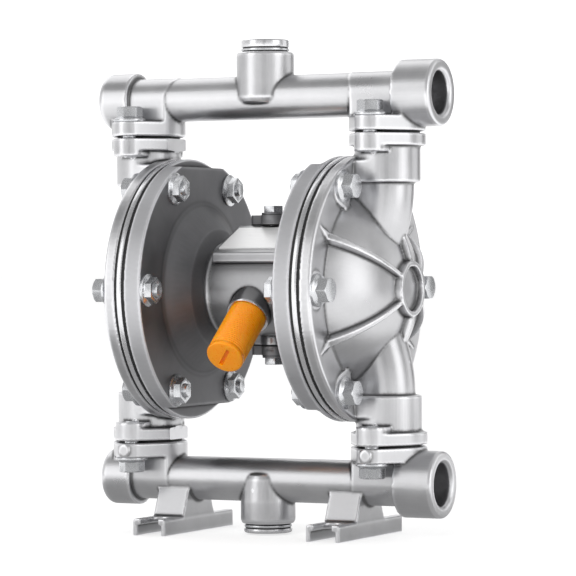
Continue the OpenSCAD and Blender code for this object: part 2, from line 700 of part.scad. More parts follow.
// One foot of the inlet manifold: pedestal, channel and an open slot at each end
module foot() difference() {
    floor_z = -shaft_h;
    channel_h = foot_h - foot_top_t;
    union() {
        translate([foot_x, 0, floor_z]) rotate([90, 0, 0]) translate([0, 0, -foot_l / 2]) linear_extrude(foot_l) {
            translate([-foot_w / 2, 0]) square([foot_w, foot_h - 1]);
            translate([1 - foot_w / 2, 0]) square([foot_w - 2, foot_h]);
            for (s = [-1, 1]) translate([s * (foot_w / 2 - 1), foot_h - 1]) circle(r = 1);
        }
        translate([foot_x - pedestal_w / 2, 0, 0]) rotate([90, 0, 90]) linear_extrude(pedestal_w) polygon([
            [-pedestal_foot_l / 2, floor_z + foot_h - 0.5], [-pedestal_top_l / 2, -tube_z - 3.5],
            [-pedestal_top_l / 2, -tube_z - 3], [0, -tube_z], [pedestal_top_l / 2, -tube_z - 3],
            [pedestal_top_l / 2, -tube_z - 3.5], [pedestal_foot_l / 2, floor_z + foot_h - 0.5]
        ]);
    }
    translate([foot_x - foot_w / 2 + foot_wall, -foot_l / 2 - 1, floor_z - 1])
        cube([foot_w - 2 * foot_wall, foot_l + 2, channel_h + 1]);
    for (s = [-1, 1]) translate([foot_x, s * foot_l / 2, floor_z]) {
        translate([0, -s * (slot_l - slot_w / 2), 0]) cylinder(r = slot_w / 2, h = foot_h + 1);
        translate([-slot_w / 2, s > 0 ? -(slot_l - slot_w / 2) : -1, 0])
            cube([slot_w, slot_l - slot_w / 2 + 1, foot_h + 1]);
    }
}

// Threaded plug that closes a branch, its head's seat at z = 0
module branch_plug(head_t) difference() {
    union() {
        translate([0, 0, -plug_stack_t - plug_l]) cylinder(r = plug_r, h = plug_stack_t + plug_l + eps);
        cylinder(r = plug_head_r, h = head_t - 0.5);
        translate([0, 0, head_t - 0.5]) cylinder(r1 = plug_head_r, r2 = plug_head_r - 0.5, h = 0.5);
    }
    translate([0, 0, -plug_stack_t - plug_l - 1]) cylinder(r = plug_r - 2.5, h = plug_l);
}

module flat_ring(outer, inner, z, h) translate([0, 0, z]) difference() {
    cylinder(r = outer, h = h);
    translate([0, 0, -1]) cylinder(r = inner, h = h + 2);
}

// Plan of the valve block between its ears
module block_middle() translate([0, valve_y]) round_rect(2 * block_x, 2 * block_y, 2);

// Plan of the covers
module block_plan() {
    block_middle();
    for (s = [-1, 1]) translate([0, valve_y + s * cover_bolt_y]) circle(r = cover_ear_r);
}

module at_cover_bolts() for (s = [-1, 1]) translate([0, valve_y + s * cover_bolt_y, 0]) children();

// Places a shape drawn round Z at the air inlet, its axis pointing out of the mouth
module at_inlet() rotate([inlet_angle, 0, 0]) translate([inlet_x, -inlet_mouth, inlet_offset]) rotate([90, 0, 0]) children();

exhaust_y = valve_y + block_y + exhaust_out;
// Depth of the cover bolts' holes in the block, a little more than the bolts reach
cover_hole_l = m5_l - cover_gasket_t - cover_t - cover_pad_t + 0.6;
// Depth of the bore for a shaft bush and the seal behind it
bush_bore_l = bush_l + seal_w + 0.6;
// Where the air inlet's boss starts inside the barrel, and where the air passage leaves it
air_boss_root = 6;

module body_outside() {
    x_pin(barrel_r, -body_x, body_x);
    for (s = [-1, 1]) x_pin(barrel_r + 0.5, s > 0 ? body_x - 1.6 : -body_x, s > 0 ? body_x : -body_x + 1.6);
    pad_back = valve_y - block_y;
    pad_back_z = pad_front_z + (pad_front + pad_back) * tan(pad_slope);
    translate([-pad_x, 0, 0]) rotate([90, 0, 90]) linear_extrude(2 * pad_x) polygon([
        [0, 0], [-barrel_r * 0.75, pad_foot_z - 1.5], [-pad_front, pad_foot_z], [-pad_front, pad_front_z],
        [pad_back - 1.4, pad_back_z - 1.4 * tan(pad_slope)], [pad_back + 2, pad_back_z - 1.4 * tan(pad_slope)],
        [pad_back + 4, 0]
    ]);
    translate([0, 0, -block_bottom]) linear_extrude(block_top + block_bottom) block_middle();
    translate([0, valve_y + cover_bolt_y, -block_bottom]) cylinder(r = cover_ear_r, h = block_top + block_bottom);
    translate([0, valve_y - cover_bolt_y, -block_bottom]) cylinder(r = cover_ear_r, h = block_bottom);
    intersection() {
        translate([0, valve_y - cover_bolt_y, 0]) cylinder(r = cover_ear_r, h = block_top);
        translate([-cover_ear_r, boss_front_y, 0]) cube([2 * cover_ear_r, valve_y - boss_front_y, block_top]);
    }
    rotate([-90, 0, 0]) cylinder(r = exhaust_boss_r, h = exhaust_y);
    at_inlet() translate([0, 0, air_boss_root - inlet_mouth]) cylinder(r = air_boss_r, h = inlet_mouth - air_boss_root);
}

// Centre body: barrel round the shaft, sloping label pad, upright valve block and two ports
module centre_body() at_shaft() color([0.6, 0.61, 0.63]) difference() {
    body_outside();
    x_pin(shaft_r + 0.4, -body_x - 1, body_x + 1);
    for (s = [0, 1]) mirror([s, 0, 0]) x_pin(bush_r + 0.02, body_x - bush_bore_l, body_x + 1);
    translate([0, 0, pilot_z]) x_pin(pilot_r + running_fit, -body_x - 1, body_x + 1);
    translate([0, valve_y, -block_bottom - 1]) cylinder(r = sleeve_r + 0.02, h = block_bottom + block_top + 2);
    translate([0, passage_y, 0]) x_pin(passage_r, -body_x - 1, body_x + 1);
    translate([0, valve_y, 0]) rotate([-90, 0, 0]) cylinder(r = passage_r, h = exhaust_y);
    translate([0, exhaust_y - silencer_thread_l - 1, 0]) rotate([-90, 0, 0])
        cylinder(r = silencer_r + thread_clearance, h = silencer_thread_l + 2);
    at_inlet() translate([0, 0, -cap_plug_in - 1]) cylinder(r = cap_plug_r + thread_clearance, h = cap_plug_in + 2);
    translate([inlet_x, -14, -12]) rotate([-90, 0, 0]) cylinder(r = passage_r, h = valve_y - sleeve_r + 15);
    for (s = [0, 1]) mirror([s, 0, 0]) at_screws()
        x_pin(screw_r + thread_clearance, bowl_floor_x - screw_l - 1, body_x + 1);
    at_cover_bolts() {
        translate([0, 0, block_top - cover_hole_l]) cylinder(r = m5_r + thread_clearance, h = cover_hole_l + 1);
        translate([0, 0, -block_bottom - 1]) cylinder(r = m5_r + thread_clearance, h = cover_hole_l + 1);
    }
}

// Bare plate on the sloping pad
module label_plate() at_shaft() color([0.88, 0.88, 0.88])
    translate([-label_w / 2, -pad_front, pad_front_z]) rotate([pad_slope, 0, 0])
        translate([0, label_margin, 0]) cube([label_w, label_l, label_t]);

// Cover that closes the valve bore, its gasket face at z = 0, with a prying slot in each ear
module valve_cover() difference() {
    slot_half = 2.6;
    union() {
        linear_extrude(cover_t) block_plan();
        at_cover_bolts() cylinder(r = cover_ear_r - 0.4, h = cover_t + cover_pad_t);
    }
    at_cover_bolts() translate([0, 0, -1]) cylinder(r = m5_r + bolt_clearance, h = cover_t + cover_pad_t + 2);
    for (s = [-1, 1]) translate([-slot_half, valve_y + s * (cover_bolt_y + cover_ear_r) - 0.6, cover_t * 0.2])
        cube([2 * slot_half, 1.2, 0.9]);
}

module cover_gasket() linear_extrude(cover_gasket_t) difference() {
    block_plan();
    translate([0, valve_y]) circle(r = sleeve_r - 1.5);
    for (s = [-1, 1]) translate([0, valve_y + s * cover_bolt_y]) circle(r = m5_r + bolt_clearance);
}

module cover_bolt() {
    hexagon(m5_af, m5_head_h);
    translate([0, 0, -m5_l]) cylinder(r = m5_r, h = m5_l + eps);
}

module valve_cover_top() at_shaft() color([0.56, 0.57, 0.6])
    translate([0, 0, block_top + cover_gasket_t]) valve_cover();
module valve_cover_bottom() at_shaft() color([0.56, 0.57, 0.6])
    below() translate([0, 0, block_bottom + cover_gasket_t]) valve_cover();
module cover_gaskets() at_shaft() color([0.1, 0.1, 0.1]) {
    translate([0, 0, block_top]) cover_gasket();
    below() translate([0, 0, block_bottom]) cover_gasket();
}
module cover_bolts() at_shaft() color([0.7, 0.71, 0.73]) at_cover_bolts() {
    translate([0, 0, block_top + cover_gasket_t + cover_t + cover_pad_t]) cover_bolt();
    below() translate([0, 0, block_bottom + cover_gasket_t + cover_t + cover_pad_t]) cover_bolt();
}

// Sleeve with air ports, in which the spool slides
sleeve_h = block_top + block_bottom;
spool_h = sleeve_h - spool_travel - 0.6;
module valve_sleeve() at_shaft() color([0.75, 0.7, 0.5]) translate([0, valve_y, -block_bottom]) difference() {
    cylinder(r = sleeve_r, h = sleeve_h);
    translate([0, 0, -1]) cylinder(r = spool_r + running_fit, h = sleeve_h + 2);
    translate([0, 0, block_bottom]) for (z = [-12, 0, 12], a = [0, 90])
        translate([0, 0, z]) rotate([0, 0, a]) rotate([90, 0, 0]) translate([0, 0, -sleeve_r - 1])
            cylinder(r = passage_r - 0.6, h = 2 * sleeve_r + 2);
}

// Spool with two waists and four seal grooves
waist_w = 6;
seal_stations = [4, 14.5, spool_h - 14.5, spool_h - 4];
module valve_spool() at_shaft() color([0.8, 0.8, 0.82])
    translate([0, valve_y, 0.3 - block_bottom]) difference() {
        cylinder(r = spool_r, h = spool_h);
        for (z = [9.5, spool_h - 9.5]) flat_ring(spool_r + 1, spool_r - 2.2, z - waist_w / 2 + 0.6, waist_w - 1.2);
        for (z = seal_stations) flat_ring(spool_r + 1, spool_r - 1.2, z - groove_w / 2, groove_w);
    }
module spool_seals() at_shaft() color([0.08, 0.08, 0.08])
    translate([0, valve_y, 0.3 - block_bottom]) for (z = seal_stations)
        flat_ring(spool_r - 0.1, spool_r - 1.15, z - groove_w / 2 + 0.1, groove_w - 0.2);

// Threaded plastic plug in the air inlet
module air_inlet_plug() at_shaft() color([1, 0.5, 0.05]) at_inlet() difference() {
    union() {
        translate([0, 0, -cap_plug_in]) cylinder(r = cap_plug_r, h = cap_plug_in + cap_plug_out - 1);
        translate([0, 0, cap_plug_out - 1 - eps]) cylinder(r1 = cap_plug_r, r2 = cap_plug_r - 1, h = 1 + eps);
    }
    translate([-cap_slot_w / 2, -cap_plug_r * 0.62, cap_plug_out - 2]) cube([cap_slot_w, cap_plug_r * 1.24, 3]);
}

module exhaust_silencer() at_shaft() color([0.72, 0.55, 0.3])
    translate([0, exhaust_y, 0]) rotate([-90, 0, 0]) {
        translate([0, 0, -silencer_thread_l]) cylinder(r = silencer_r, h = silencer_thread_l + eps);
        hexagon(silencer_af, silencer_hex_h);
        translate([0, 0, silencer_hex_h - eps]) cylinder(r = silencer_r - 0.2, h = silencer_l - 2);
        translate([0, 0, silencer_hex_h + silencer_l - 2 - 2 * eps])
            cylinder(r1 = silencer_r - 0.2, r2 = silencer_r - 2.2, h = 2);
    }

module shaft_bushes() at_shaft() color([0.9, 0.88, 0.8]) for (s = [0, 1]) mirror([s, 0, 0])
    x_ring(bush_r, shaft_r + running_fit, body_x - bush_l, body_x - 0.05);
module shaft_seals() at_shaft() color([0.08, 0.08, 0.08]) for (s = [0, 1]) mirror([s, 0, 0])
    x_ring(bush_r - 0.1, shaft_r + 0.08, body_x - bush_l - seal_w - 0.2, body_x - bush_l - 0.1);

module air_chamber_left() at_shaft() left() air_chamber();
module air_chamber_right() at_shaft() air_chamber();
module chamber_screws() color([0.55, 0.55, 0.57]) at_screws() translate([bowl_floor_x, 0, 0]) chamber_screw();
module chamber_screws_left() at_shaft() left() chamber_screws();
module chamber_screws_right() at_shaft() chamber_screws();
module clamp_ring() color([0.82, 0.83, 0.85]) clamped_ring(disc_r, ring_x, gasket_x);
module clamp_ring_left() at_shaft() left() clamp_ring();
module clamp_ring_right() at_shaft() clamp_ring();
module rim_gasket() color([0.1, 0.1, 0.1]) clamped_ring(disc_r - soft_inset, gasket_x, cap_x);
module rim_gasket_left() at_shaft() left() rim_gasket();
module rim_gasket_right() at_shaft() rim_gasket();
module diaphragm_left() at_shaft() left() diaphragm();
module diaphragm_right() at_shaft() diaphragm();
module fluid_cap_left() at_shaft() left() fluid_cap();
module fluid_cap_right() at_shaft() fluid_cap();
module chamber_bolts() color([0.8, 0.81, 0.83]) at_chamber_bolts()
    translate([annulus_x, 0, 0]) along_x() rotate([0, 0, 90]) flange_bolt(chamber_bolt_l);
module chamber_bolts_left() at_shaft() left() chamber_bolts();
module chamber_bolts_right() at_shaft() chamber_bolts();
module chamber_nuts() color([0.8, 0.81, 0.83]) at_chamber_bolts()
    translate([air_face_x, 0, 0]) rotate([0, -90, 0]) flange_nut();
module chamber_nuts_left() at_shaft() left() chamber_nuts();
module chamber_nuts_right() at_shaft() chamber_nuts();

module outlet_manifold() at_shaft() color([0.78, 0.78, 0.8]) manifold(outlet_boss, outlet_boss_z);
// Small round pads on the front of the inlet's ears
module ear_pads() for (s = [-1, 1]) translate([s * stack_x, -ear_y, -manifold_face_z - flange_t / 2 + 0.2])
    rotate([90, 0, 0]) cylinder(r = 2.7, h = ear_r + 0.4);
module inlet_manifold() at_shaft() color([0.74, 0.74, 0.76]) {
    below() manifold(inlet_boss, inlet_boss_z);
    difference() {
        union() {
            foot();
            left() foot();
        }
        translate([0, 0, -tube_z]) x_pin(tube_r - 1, -stack_x, stack_x);
    }
    difference() {
        ear_pads();
        for (s = [-1, 1]) translate([s * stack_x, -ear_y, -tube_z]) cylinder(r = ear_r - 1, h = 20);
    }
}
module manifold_bolts() color([0.8, 0.81, 0.83]) for (x = [-stack_x, stack_x], y = [-ear_y, ear_y])
    translate([x, y, manifold_face_z + flange_t]) rotate([0, 0, 30]) flange_bolt(flange_bolt_l);
module outlet_bolts() at_shaft() manifold_bolts();
module inlet_bolts() at_shaft() below() manifold_bolts();
module manifold_gaskets() at_shaft() color([0.08, 0.08, 0.08]) for (m = [0, 1], x = [-stack_x, stack_x])
    mirror([0, 0, m]) translate([x, 0, 0])
        flat_ring(ear_y - m6_r - bolt_clearance, housing_bore_r + stack_fit, joint_z, gasket_t);

module outlet_seat_left() at_shaft() left() at_outlet_stack() valve_seat();
module outlet_seat_right() at_shaft() at_outlet_stack() valve_seat();
module inlet_seat_left() at_shaft() left() at_inlet_stack() valve_seat();
module inlet_seat_right() at_shaft() at_inlet_stack() valve_seat();
module outlet_cage_left() at_shaft() left() at_outlet_stack() translate([0, 0, seat_t]) ball_cage();
module outlet_cage_right() at_shaft() at_outlet_stack() translate([0, 0, seat_t]) ball_cage();
module inlet_cage_left() at_shaft() left() at_inlet_stack() translate([0, 0, seat_t]) ball_cage();
module inlet_cage_right() at_shaft() at_inlet_stack() translate([0, 0, seat_t]) ball_cage();
module outlet_ball_left() at_shaft() left() at_outlet_stack() ball();
module outlet_ball_right() at_shaft() at_outlet_stack() ball();
module inlet_ball_left() at_shaft() left() at_inlet_stack() ball();
module inlet_ball_right() at_shaft() at_inlet_stack() ball();

module outlet_plug() at_shaft() color([0.8, 0.8, 0.82])
    translate([0, 0, outlet_boss_z + plug_stack_t]) branch_plug(outlet_plug_t);
module inlet_plug() at_shaft() color([0.78, 0.78, 0.8])
    below() translate([0, 0, inlet_boss_z + plug_stack_t]) branch_plug(inlet_plug_t);
module plug_washers() at_shaft() color([0.85, 0.85, 0.87]) {
    flat_ring(plug_head_r, plug_r + bolt_clearance, outlet_boss_z + plug_seal_t, plug_washer_t);
    below() flat_ring(plug_head_r - 0.2, plug_r + bolt_clearance, inlet_boss_z + plug_seal_t, plug_washer_t);
}
module plug_seals() at_shaft() color([0.08, 0.08, 0.08]) for (m = [0, 1]) mirror([0, 0, m]) {
    z = m == 0 ? outlet_boss_z : inlet_boss_z;
    flat_ring(plug_head_r - 0.7, plug_r + bolt_clearance, z, plug_seal_t);
    flat_ring(plug_head_r - 0.7, plug_r + bolt_clearance, z + plug_seal_t + plug_washer_t, plug_seal_t);
}

// Shaft with a stud at each end for the washers and nuts
module diaphragm_shaft() at_shaft() color([0.75, 0.76, 0.78]) {
    x_pin(shaft_r, -shoulder_x, shoulder_x);
    x_pin(stud_r, -stud_end_x, stud_end_x);
}
module inner_washer() color([0.7, 0.7, 0.72]) x_ring(washer_r, stud_r + running_fit, shoulder_x, diaphragm_x);
module inner_washer_left() at_shaft() left() inner_washer();
module inner_washer_right() at_shaft() inner_washer();
module outer_washer() color([0.7, 0.7, 0.72])
    x_ring(washer_r, stud_r + running_fit, ring_x, ring_x + outer_washer_t);
module outer_washer_left() at_shaft() left() outer_washer();
module outer_washer_right() at_shaft() outer_washer();
module shaft_nut() color([0.75, 0.75, 0.77]) translate([ring_x + outer_washer_t, 0, 0]) along_x() difference() {
    hexagon(shaft_nut_af, shaft_nut_t);
    translate([0, 0, -1]) cylinder(r = stud_r + running_fit, h = shaft_nut_t + 2);
}
module shaft_nut_left() at_shaft() left() shaft_nut();
module shaft_nut_right() at_shaft() shaft_nut();
module pilot_rod() at_shaft() color([0.8, 0.8, 0.82]) translate([0, 0, pilot_z]) x_pin(pilot_r, -pilot_half, pilot_half);

centre_body();
label_plate();
valve_sleeve();
valve_cover_top();
valve_cover_bottom();
cover_gaskets();
cover_bolts();
air_inlet_plug();
exhaust_silencer();
shaft_bushes();
shaft_seals();
air_chamber_left();
air_chamber_right();
chamber_screws_left();
chamber_screws_right();
clamp_ring_left();
clamp_ring_right();
rim_gasket_left();
rim_gasket_right();
diaphragm_left();
diaphragm_right();
fluid_cap_left();
fluid_cap_right();
chamber_bolts_left();
chamber_bolts_right();
chamber_nuts_left();
chamber_nuts_right();
outlet_manifold();
inlet_manifold();
outlet_bolts();
inlet_bolts();
manifold_gaskets();
outlet_seat_left();
outlet_seat_right();
inlet_seat_left();
inlet_seat_right();
outlet_cage_left();
outlet_cage_right();
inlet_cage_left();
inlet_cage_right();
outlet_plug();
inlet_plug();
plug_washers();
plug_seals();
diaphragm_shaft();
inner_washer_left();
inner_washer_right();
outer_washer_left();
outer_washer_right();
shaft_nut_left();
shaft_nut_right();
pilot_rod();
valve_spool();
spool_seals();
outlet_ball_left();
outlet_ball_right();
inlet_ball_left();
inlet_ball_right();
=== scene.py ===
import json
import math

import bmesh
import bpy
from mathutils import Matrix, Vector


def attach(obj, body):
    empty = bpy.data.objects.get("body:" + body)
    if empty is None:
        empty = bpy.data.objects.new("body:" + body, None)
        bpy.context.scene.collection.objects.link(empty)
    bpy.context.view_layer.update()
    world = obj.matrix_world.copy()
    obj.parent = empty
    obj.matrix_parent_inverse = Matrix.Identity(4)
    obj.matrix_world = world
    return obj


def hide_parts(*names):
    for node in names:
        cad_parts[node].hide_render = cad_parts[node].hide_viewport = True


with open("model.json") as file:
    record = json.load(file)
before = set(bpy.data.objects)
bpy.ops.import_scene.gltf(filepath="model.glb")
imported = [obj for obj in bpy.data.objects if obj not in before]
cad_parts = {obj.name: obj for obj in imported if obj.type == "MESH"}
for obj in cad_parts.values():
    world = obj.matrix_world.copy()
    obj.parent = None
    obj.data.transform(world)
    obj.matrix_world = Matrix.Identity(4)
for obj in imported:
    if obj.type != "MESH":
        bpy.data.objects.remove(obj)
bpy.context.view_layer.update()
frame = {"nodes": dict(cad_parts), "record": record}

mm = 0.001
shaftHeight = 107.8 * mm
cadNodes = frame["nodes"]
print("frame loaded:", len(cadNodes), "nodes")


# Unit vector towards an azimuth, counted from the front to the right, and an elevation, both in degrees
def aim(azimuth, elevation):
    turn, rise = math.radians(azimuth), math.radians(elevation)
    return Vector((math.sin(turn) * math.cos(rise), -math.cos(turn) * math.cos(rise), math.sin(rise)))


# Camera, fitted to the photograph
camera = {
    "azimuth": 26.712, "elevation": 0.586, "roll": -0.356,      # degrees
    "distance": 1400.743 * mm,
    "target": (10.46 * mm, 0, 108.158 * mm),
    "focalPixels": 3195.404, "imagePixels": 576, "sensor": 36, "farClip": 20,
}


def placeCamera(settings):
    azimuth, roll = math.radians(settings["azimuth"]), math.radians(settings["roll"])
    back = aim(settings["azimuth"], settings["elevation"])
    level = Vector((math.cos(azimuth), math.sin(azimuth), 0))
    upright = back.cross(level)
    right = level * math.cos(roll) + upright * math.sin(roll)
    up = upright * math.cos(roll) - level * math.sin(roll)
    data = bpy.data.cameras.new("photoCamera")
    data.sensor_width = settings["sensor"]
    data.lens = settings["focalPixels"] / settings["imagePixels"] * data.sensor_width
    data.clip_end = settings["farClip"]
    lens = bpy.data.objects.new("photoCamera", data)
    turn = Matrix((right, up, back)).transposed().to_4x4()
    lens.matrix_world = Matrix.Translation(Vector(settings["target"]) + back * settings["distance"]) @ turn
    bpy.context.scene.collection.objects.link(lens)
    bpy.context.scene.camera = lens


placeCamera(camera)
print("camera placed")


# Shader helpers
noiseCore, noiseSpan = (0.35, 0.65), (0.3, 0.7)      # where most, and nearly all, of a noise's values lie


def startMaterial(name):
    material = bpy.data.materials.new(name)
    material.use_nodes = True
    tree = material.node_tree
    return material, tree, tree.nodes["Principled BSDF"]


def addNode(tree, kind, **values):
    node = tree.nodes.new(kind)
    for key, value in values.items():
        if key in node.inputs:
            node.inputs[key].default_value = value
        else:
            setattr(node, key, value)
    return node


def objectPoint(tree):
    return addNode(tree, "ShaderNodeTexCoord").outputs["Object"]


def addNoise(tree, point, scale, detail=3.0, roughness=0.55):
    noise = addNode(tree, "ShaderNodeTexNoise", Scale=scale, Detail=detail, Roughness=roughness)
    tree.links.new(point, noise.inputs["Vector"])
    return noise.outputs["Fac"]


def remap(tree, value, low, high, outLow, outHigh):
    node = addNode(tree, "ShaderNodeMapRange")
    for socket, number in zip(("From Min", "From Max", "To Min", "To Max"), (low, high, outLow, outHigh)):
        node.inputs[socket].default_value = number
    tree.links.new(value, node.inputs["Value"])
    return node.outputs["Result"]


def combine(tree, operation, first, second):
    node = addNode(tree, "ShaderNodeMath", operation=operation)
    tree.links.new(first, node.inputs[0])
    tree.links.new(second, node.inputs[1])
    return node.outputs["Value"]


def blendColours(tree, factor, first, second):
    node = tree.nodes.new("ShaderNodeMix")
    node.data_type = "RGBA"
    node.inputs["A"].default_value = (*first, 1)
    node.inputs["B"].default_value = (*second, 1)
    tree.links.new(factor, node.inputs["Factor"])
    return node.outputs["Result"]


def addBump(tree, shader, layers):
    normal = None
    for height, distance, strength in layers:
        bump = addNode(tree, "ShaderNodeBump", Strength=strength, Distance=distance)
        tree.links.new(height, bump.inputs["Height"])
        if normal:
            tree.links.new(normal, bump.inputs["Normal"])
        normal = bump.outputs["Normal"]
    tree.links.new(normal, shader.inputs["Normal"])


# Painted shade: darkens hollows and inner corners by their pointiness, and makes edges brighter
def shadeCorners(tree, colour, settings):
    pointed = addNode(tree, "ShaderNodeNewGeometry").outputs["Pointiness"]
    factor = remap(tree, pointed, settings["hollow"], settings["edge"], settings["paintedHollowShade"], settings["edgeTone"])
    shaded = tree.nodes.new("ShaderNodeVectorMath")
    shaded.operation = "SCALE"
    tree.links.new(colour, shaded.inputs["Vector"])
    tree.links.new(factor, shaded.inputs["Scale"])
    return shaded.outputs["Vector"]


# Strength of the painted shade in hollows and of the brighter edges
paintedCornerShade = {"hollow": 0.475, "edge": 0.515, "paintedHollowShade": 0.25, "edgeTone": 1.15}

castFinish = {
    "light": (0.80, 0.80, 0.815), "dark": (0.71, 0.71, 0.725), "roughLow": 0.27, "roughHigh": 0.36,
    "patch": 60, "grain": 1700, "grainDepth": 0.06 * mm, "grainStrength": 0.5,
    "wave": 160, "waveDepth": 0.12 * mm, "waveStrength": 0.10,
}


# Bead-blasted casting: broad tone patches, a fine grain and a faint waviness
def castMetal(name, settings):
    material, tree, shader = startMaterial(name)
    point = objectPoint(tree)
    patches = addNoise(tree, point, settings["patch"], 4)
    grain = addNoise(tree, point, settings["grain"], 2)
    waves = addNoise(tree, point, settings["wave"], 2)
    tone = remap(tree, patches, *noiseCore, 0, 1)
    colour = blendColours(tree, tone, settings["dark"], settings["light"])
    # Painted shade in hollows and inner corners, and brighter edges
    tree.links.new(shadeCorners(tree, colour, paintedCornerShade), shader.inputs["Base Color"])
    tree.links.new(remap(tree, patches, *noiseSpan, settings["roughLow"], settings["roughHigh"]),
                   shader.inputs["Roughness"])
    shader.inputs["Metallic"].default_value = 1
    addBump(tree, shader, [(waves, settings["waveDepth"], settings["waveStrength"]),
                           (grain, settings["grainDepth"], settings["grainStrength"])])
    return material


chamberFinish = {
    "faceLight": (0.34, 0.34, 0.35), "faceDark": (0.26, 0.26, 0.27), "rimLight": (0.78, 0.78, 0.80),
    "rimDark": (0.70, 0.70, 0.72), "rimRadius": 57.0 * mm, "rimBlend": 0.3 * mm,
    "roughLow": 0.5, "roughHigh": 0.6, "patch": 50, "grain": 1500, "grainDepth": 0.05 * mm, "grainStrength": 0.22,
}


# Distance from the shaft's axis
def shaftRadius(tree, point):
    centred = addNode(tree, "ShaderNodeVectorMath", operation="MULTIPLY_ADD")
    centred.inputs[1].default_value = (0, 1, 1)
    centred.inputs[2].default_value = (0, 0, -shaftHeight)
    tree.links.new(point, centred.inputs[0])
    length = addNode(tree, "ShaderNodeVectorMath", operation="LENGTH")
    tree.links.new(centred.outputs["Vector"], length.inputs[0])
    return length.outputs["Value"]


# Grey chamber face with a bright turned rim
def chamberMetal(name, settings):
    material, tree, shader = startMaterial(name)
    point = objectPoint(tree)
    patches = remap(tree, addNoise(tree, point, settings["patch"], 4), *noiseCore, 0, 1)
    rim = remap(tree, shaftRadius(tree, point), settings["rimRadius"] - settings["rimBlend"], settings["rimRadius"],
                0, 1)
    face = blendColours(tree, patches, settings["faceDark"], settings["faceLight"])
    edge = blendColours(tree, patches, settings["rimDark"], settings["rimLight"])
    both = tree.nodes.new("ShaderNodeMix")
    both.data_type = "RGBA"
    for source, socket in ((rim, "Factor"), (face, "A"), (edge, "B")):
        tree.links.new(source, both.inputs[socket])
    # Painted shade in hollows and inner corners, and brighter edges
    tree.links.new(shadeCorners(tree, both.outputs["Result"], paintedCornerShade), shader.inputs["Base Color"])
    tree.links.new(remap(tree, patches, 0, 1, settings["roughLow"], settings["roughHigh"]),
                   shader.inputs["Roughness"])
    shader.inputs["Metallic"].default_value = 1
    grain = addNoise(tree, point, settings["grain"], 2)
    addBump(tree, shader, [(grain, settings["grainDepth"], settings["grainStrength"])])
    return material


worked = {"darker": 0.9, "marksDepth": 0.006 * mm, "marksStrength": 0.3}


# Metal with fine marks, stretched along one axis where it is ground or brushed
def workedMetal(name, colour, roughness, stretch, metallic=1.0):
    material, tree, shader = startMaterial(name)
    mapping = addNode(tree, "ShaderNodeMapping", Scale=stretch)
    tree.links.new(objectPoint(tree), mapping.inputs["Vector"])
    marks = addNoise(tree, mapping.outputs["Vector"], 1, 4, 0.7)
    darker = tuple(c * worked["darker"] for c in colour)
    tree.links.new(blendColours(tree, remap(tree, marks, *noiseSpan, 0, 1), darker, colour),
                   shader.inputs["Base Color"])
    tree.links.new(remap(tree, marks, *noiseSpan, roughness * 0.8, roughness * 1.25), shader.inputs["Roughness"])
    shader.inputs["Metallic"].default_value = metallic
    addBump(tree, shader, [(marks, worked["marksDepth"], worked["marksStrength"])])
    return material


soft = {"paler": 1.12, "lift": 0.004, "grainStrength": 0.25, "glowReach": (5 * mm, 1.2 * mm, 0.3 * mm)}


# Plastic or rubber with a moulded grain; light goes a little way into it where glow is given
def mouldedSoft(name, colour, roughness, grain=900, depth=0.03 * mm, glow=0.0):
    material, tree, shader = startMaterial(name)
    speckle = addNoise(tree, objectPoint(tree), grain, 3)
    paler = tuple(min(1, c * soft["paler"] + soft["lift"]) for c in colour)
    tree.links.new(blendColours(tree, remap(tree, speckle, *noiseCore, 0, 1), colour, paler),
                   shader.inputs["Base Color"])
    tree.links.new(remap(tree, speckle, *noiseSpan, roughness * 0.85, roughness * 1.2), shader.inputs["Roughness"])
    shader.inputs["Subsurface Weight"].default_value = glow
    shader.inputs["Subsurface Radius"].default_value = soft["glowReach"]
    shader.inputs["Subsurface Scale"].default_value = 1
    addBump(tree, shader, [(speckle, depth, soft["grainStrength"])])
    return material


bodyFinish = {**castFinish, "light": (0.50, 0.50, 0.51), "dark": (0.40, 0.40, 0.41)}
bronzeFinish = {
    "light": (0.62, 0.45, 0.26), "dark": (0.42, 0.29, 0.15), "roughLow": 0.45, "roughHigh": 0.6,
    "patch": 300, "grain": 2500, "grainDepth": 0.2 * mm, "grainStrength": 0.7,
    "wave": 900, "waveDepth": 0.1 * mm, "waveStrength": 0.3,
}
finishes = {
    "cast_aluminium": castMetal("castAluminium", castFinish),
    "dark_cast_aluminium": chamberMetal("chamberAluminium", chamberFinish),
    "machined_aluminium": workedMetal("turnedAluminium", (0.86, 0.86, 0.88), 0.24, (900, 900, 900)),
    "label_metal": workedMetal("plateMetal", (0.93, 0.93, 0.93), 0.34, (120, 4000, 4000), metallic=0.35),
    "zinc_steel": workedMetal("zincSteel", (0.76, 0.77, 0.79), 0.27, (1800, 1800, 1800)),
    "stainless_steel": workedMetal("groundSteel", (0.66, 0.66, 0.68), 0.18, (3000, 300, 300)),
    "black_rubber": mouldedSoft("blackRubber", (0.012, 0.012, 0.012), 0.55),
    "white_plastic": mouldedSoft("whitePlastic", (0.86, 0.86, 0.83), 0.4),
    "orange_plastic": mouldedSoft("orangePlastic", (1.0, 0.31, 0.001), 0.30, depth=0.004 * mm, glow=0.5),
    "sintered_bronze": castMetal("sinteredBronze", bronzeFinish),
    "brass": workedMetal("turnedBrass", (0.80, 0.62, 0.30), 0.25, (900, 900, 900)),
}
slotOf = {entry["node"]: entry["material_slot"] for entry in frame["record"]["subparts"]}
finishOf = {nodeName: finishes[slotOf[nodeName]] for nodeName in cadNodes}
finishOf["centre_body"] = castMetal("bodyAluminium", bodyFinish)
for nodeName, cadNode in cadNodes.items():
    cadNode.data.materials.clear()
    cadNode.data.materials.append(finishOf[nodeName])
print("finishes made:", len(finishes))


# Piece helpers
def bodyOf(nodeName):
    for body, members in frame["record"]["behaviour"]["bodies"].items():
        if nodeName in members:
            return body


